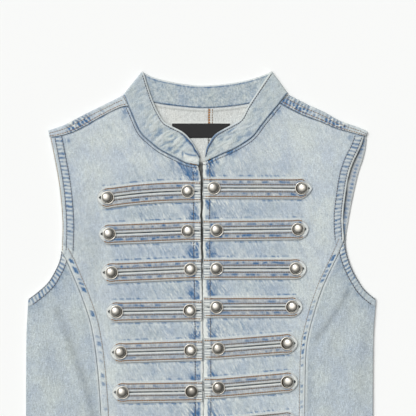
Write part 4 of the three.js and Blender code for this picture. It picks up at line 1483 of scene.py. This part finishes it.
def button(node, x, y, lean, tarnish):
    """A domed metal button with a rolled brim. The top of its dome leans towards lean = (x, y)."""
    rings = list(BRIM_RINGS)
    for step in range(DOME_RINGS):
        angle = math.radians(3 + 6.3 * step)
        stain = DOME_PATINA_AND_SHADE[step] if step < len(DOME_PATINA_AND_SHADE) else 0.04
        radius, height = DOME * math.cos(angle), DOME_FOOT + DOME_RISE * math.sin(angle)
        rings.append((radius, height, max(stain, tarnish)))
    turn = np.arange(BUTTON_SIDES) * 2 * math.pi / BUTTON_SIDES
    points, patina_and_shade, faces = [(0, 0, 0)], [0.0], []
    for radius, height, stain in rings:
        ring = [radius * np.cos(turn), radius * np.sin(turn), np.full(BUTTON_SIDES, height)]
        points.extend(np.stack(ring, 1).tolist())
        patina_and_shade.extend([stain] * BUTTON_SIDES)
    points.append((0, 0, DOME_FOOT + DOME_RISE))
    patina_and_shade.append(tarnish)
    top = 1 + (len(rings) - 1) * BUTTON_SIDES
    for q in range(BUTTON_SIDES):
        r = (q + 1) % BUTTON_SIDES
        faces.append([0, 1 + r, 1 + q])
        for a in range(1, top, BUTTON_SIDES):
            b = a + BUTTON_SIDES
            faces.append([a + q, a + r, b + r, b + q])
        faces.append([top + q, top + r, len(points) - 1])
    points = np.array(points, float)
    on_dome = np.hypot(points[:, 0], points[:, 1]) < DOME + 0.05
    up = np.clip((points[:, 2] - 0.9) / DOME_RISE, 0, 1)
    points[:, :2] += np.outer(on_dome * (DOME_SHIFT + APEX_SHIFT * up), lean)
    points += (x, y, button_foot(x, y) + 0.25)
    name = f"metal_{node}"
    mesh = bpy.data.meshes.new(name)
    mesh.from_pydata((points * MM).tolist(), [], faces)
    add_float(mesh, "patina_and_shade", patina_and_shade)
    add_float(mesh, "rim", ~on_dome)
    piece = finished(name, mesh, SILVER)
    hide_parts(node)


def label():
    """The woven neck label, blank, which dips a little between its ends."""
    x, y = np.meshgrid(np.linspace(*LABEL_BOX["x"], 75), np.linspace(*LABEL_BOX["y"], 19))
    from_edge = np.minimum(y - LABEL_BOX["y"][0], LABEL_BOX["y"][1] - y)
    lift = 0.15 * noise(x / 12, y / 9, 163) - 0.25 * fall(from_edge, 0, 0.08 * np.ptp(LABEL_BOX["y"]))
    base = DENIM + GAP
    piece = shell("cloth_label", raised(x, y, base + LABEL + lift), raised(x, y, base), BLACK)
    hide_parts("label")


# Make it

for side in ("left", "right"):
    back_panel(side)
for side in ("left", "right"):
    centre_panel(side)
    side_panel(side)
    shoulder(side)
collar()
label()

# How far each button leans, as (x, y), and how tarnished it is, down the rows
LEANS = {
    "left_outer": [(-0.7, 0.3), (-0.6, 0.5), (-0.5, 0.4), (-0.6, 0.5), (-0.6, 0.3), (-0.4, 0.5), (-0.6, 0.4)],
    "left_inner": [(0.2, 0.3), (0.6, 0), (0.4, 0.1), (0.9, -0.4), (0.9, -0.2), (1.0, 0.1), (0.1, 0.5)],
    "right_inner": [
        (-0.6, 0.4), (-0.6, 0.5), (-0.4, 0.4), (-0.3, 0.5), (-0.2, 0.2), (-0.2, 0.4), (-0.5, 0.4),
    ],
    "right_outer": [(1.0, 0.2), (0.6, 0.4), (0.1, 0.5), (0.9, 0.2), (1.3, 0.2), (1.2, 0.2), (1.1, 0.2)],
}
TARNISH = {
    "left_outer": [0.05, 0.05, 0.05, 0, 0.05, 0.1, 0.2],
    "left_inner": [0, 0, 0, 0.05, 0.15, 0.7, 0.7],
    "right_inner": [0, 0.05, 0.15, 0.1, 0.35, 0.55, 0.6],
    "right_outer": [0.15, 0.15, 0.05, 0.05, 0.15, 0.25, 0.2],
}
for side, rows in FROGS.items():
    for k, row in enumerate(rows):
        frog(side, k)
        for place, x, y in (("outer", *row[:2]), ("inner", *row[2:4])):
            column = f"{side}_{place}"
            button(f"button_{column}_{k + 1}", x, y, LEANS[column][k], TARNISH[column][k])


# Stage, light and camera

FLOOR_SIZE = 15
FLOOR_DROP = 0.0003
LIGHT_FROM = (-0.42, 0.5, 0.76)
GLOW_FROM = (-0.33, 0.24, 0.91)
SKY = [(0.0, 0.04), (0.5, 0.05), (0.64, 0.09), (0.76, 0.17), (0.86, 0.34), (0.93, 0.72), (0.97, 1.0)]
SKY_STRENGTH = 1.71
SUN_STRENGTH = 1.4
SUN_ANGLE = 22


def floor():
    corners = [(a * FLOOR_SIZE, b * FLOOR_SIZE, 0) for a, b in ((-1, -1), (1, -1), (1, 1), (-1, 1))]
    mesh = bpy.data.meshes.new("floor")
    mesh.from_pydata(corners, [], [[0, 1, 2, 3]])
    n = Nodes("studio_floor")
    looks = {"Base Color": (0.895, 0.905, 0.9, 1), "Roughness": 0.9, "Specular IOR Level": 0.1}
    fill(n.tree, n.shader, looks)
    mesh.materials.append(n.material)
    ground = bpy.data.objects.new("floor", mesh)
    ground.location.z = -FLOOR_DROP
    bpy.context.collection.objects.link(ground)


def sky():
    """A soft glow from the upper left, which the metal mirrors."""
    world = bpy.data.worlds.new("studio")
    world.use_nodes = True
    tree = world.node_tree
    way = add_node(tree, "ShaderNodeTexCoord").outputs["Generated"]
    glow = {0: way, 1: Vector(GLOW_FROM).normalized()}
    towards = add_node(tree, "ShaderNodeVectorMath", glow, operation="DOT_PRODUCT").outputs["Value"]
    share = add_node(tree, "ShaderNodeMapRange", {"Value": towards, "From Min": -1}).outputs[0]
    ramp = add_node(tree, "ShaderNodeValToRGB", {0: share})
    stops = ramp.color_ramp.elements
    while len(stops) < len(SKY):
        stops.new(0.5)
    for stop, (position, level) in zip(stops, SKY):
        stop.position = position
        stop.color = (level, level * 0.995, level * 0.985, 1)
    fill(tree, tree.nodes["Background"], {0: ramp.outputs[0], 1: SKY_STRENGTH})
    bpy.context.scene.world = world


def sun():
    light = bpy.data.lights.new("sun", "SUN")
    light.energy = SUN_STRENGTH
    light.angle = math.radians(SUN_ANGLE)
    lamp = bpy.data.objects.new("sun", light)
    lamp.rotation_euler = Vector(LIGHT_FROM).to_track_quat("Z", "Y").to_euler()
    bpy.context.collection.objects.link(lamp)


floor()
sky()
sun()

camera = bpy.data.cameras.new("camera")
camera.sensor_width = SENSOR
camera.lens = SENSOR * VIEW_HEIGHT / VIEW_WIDTH
view = bpy.data.objects.new("camera", camera)
view.location = (VIEW_CENTRE[0] * MM, VIEW_CENTRE[1] * MM, (FACE_HEIGHT + VIEW_HEIGHT) * MM)
bpy.context.collection.objects.link(view)
bpy.context.scene.camera = view
bpy.context.scene.view_settings.view_transform = "Standard"
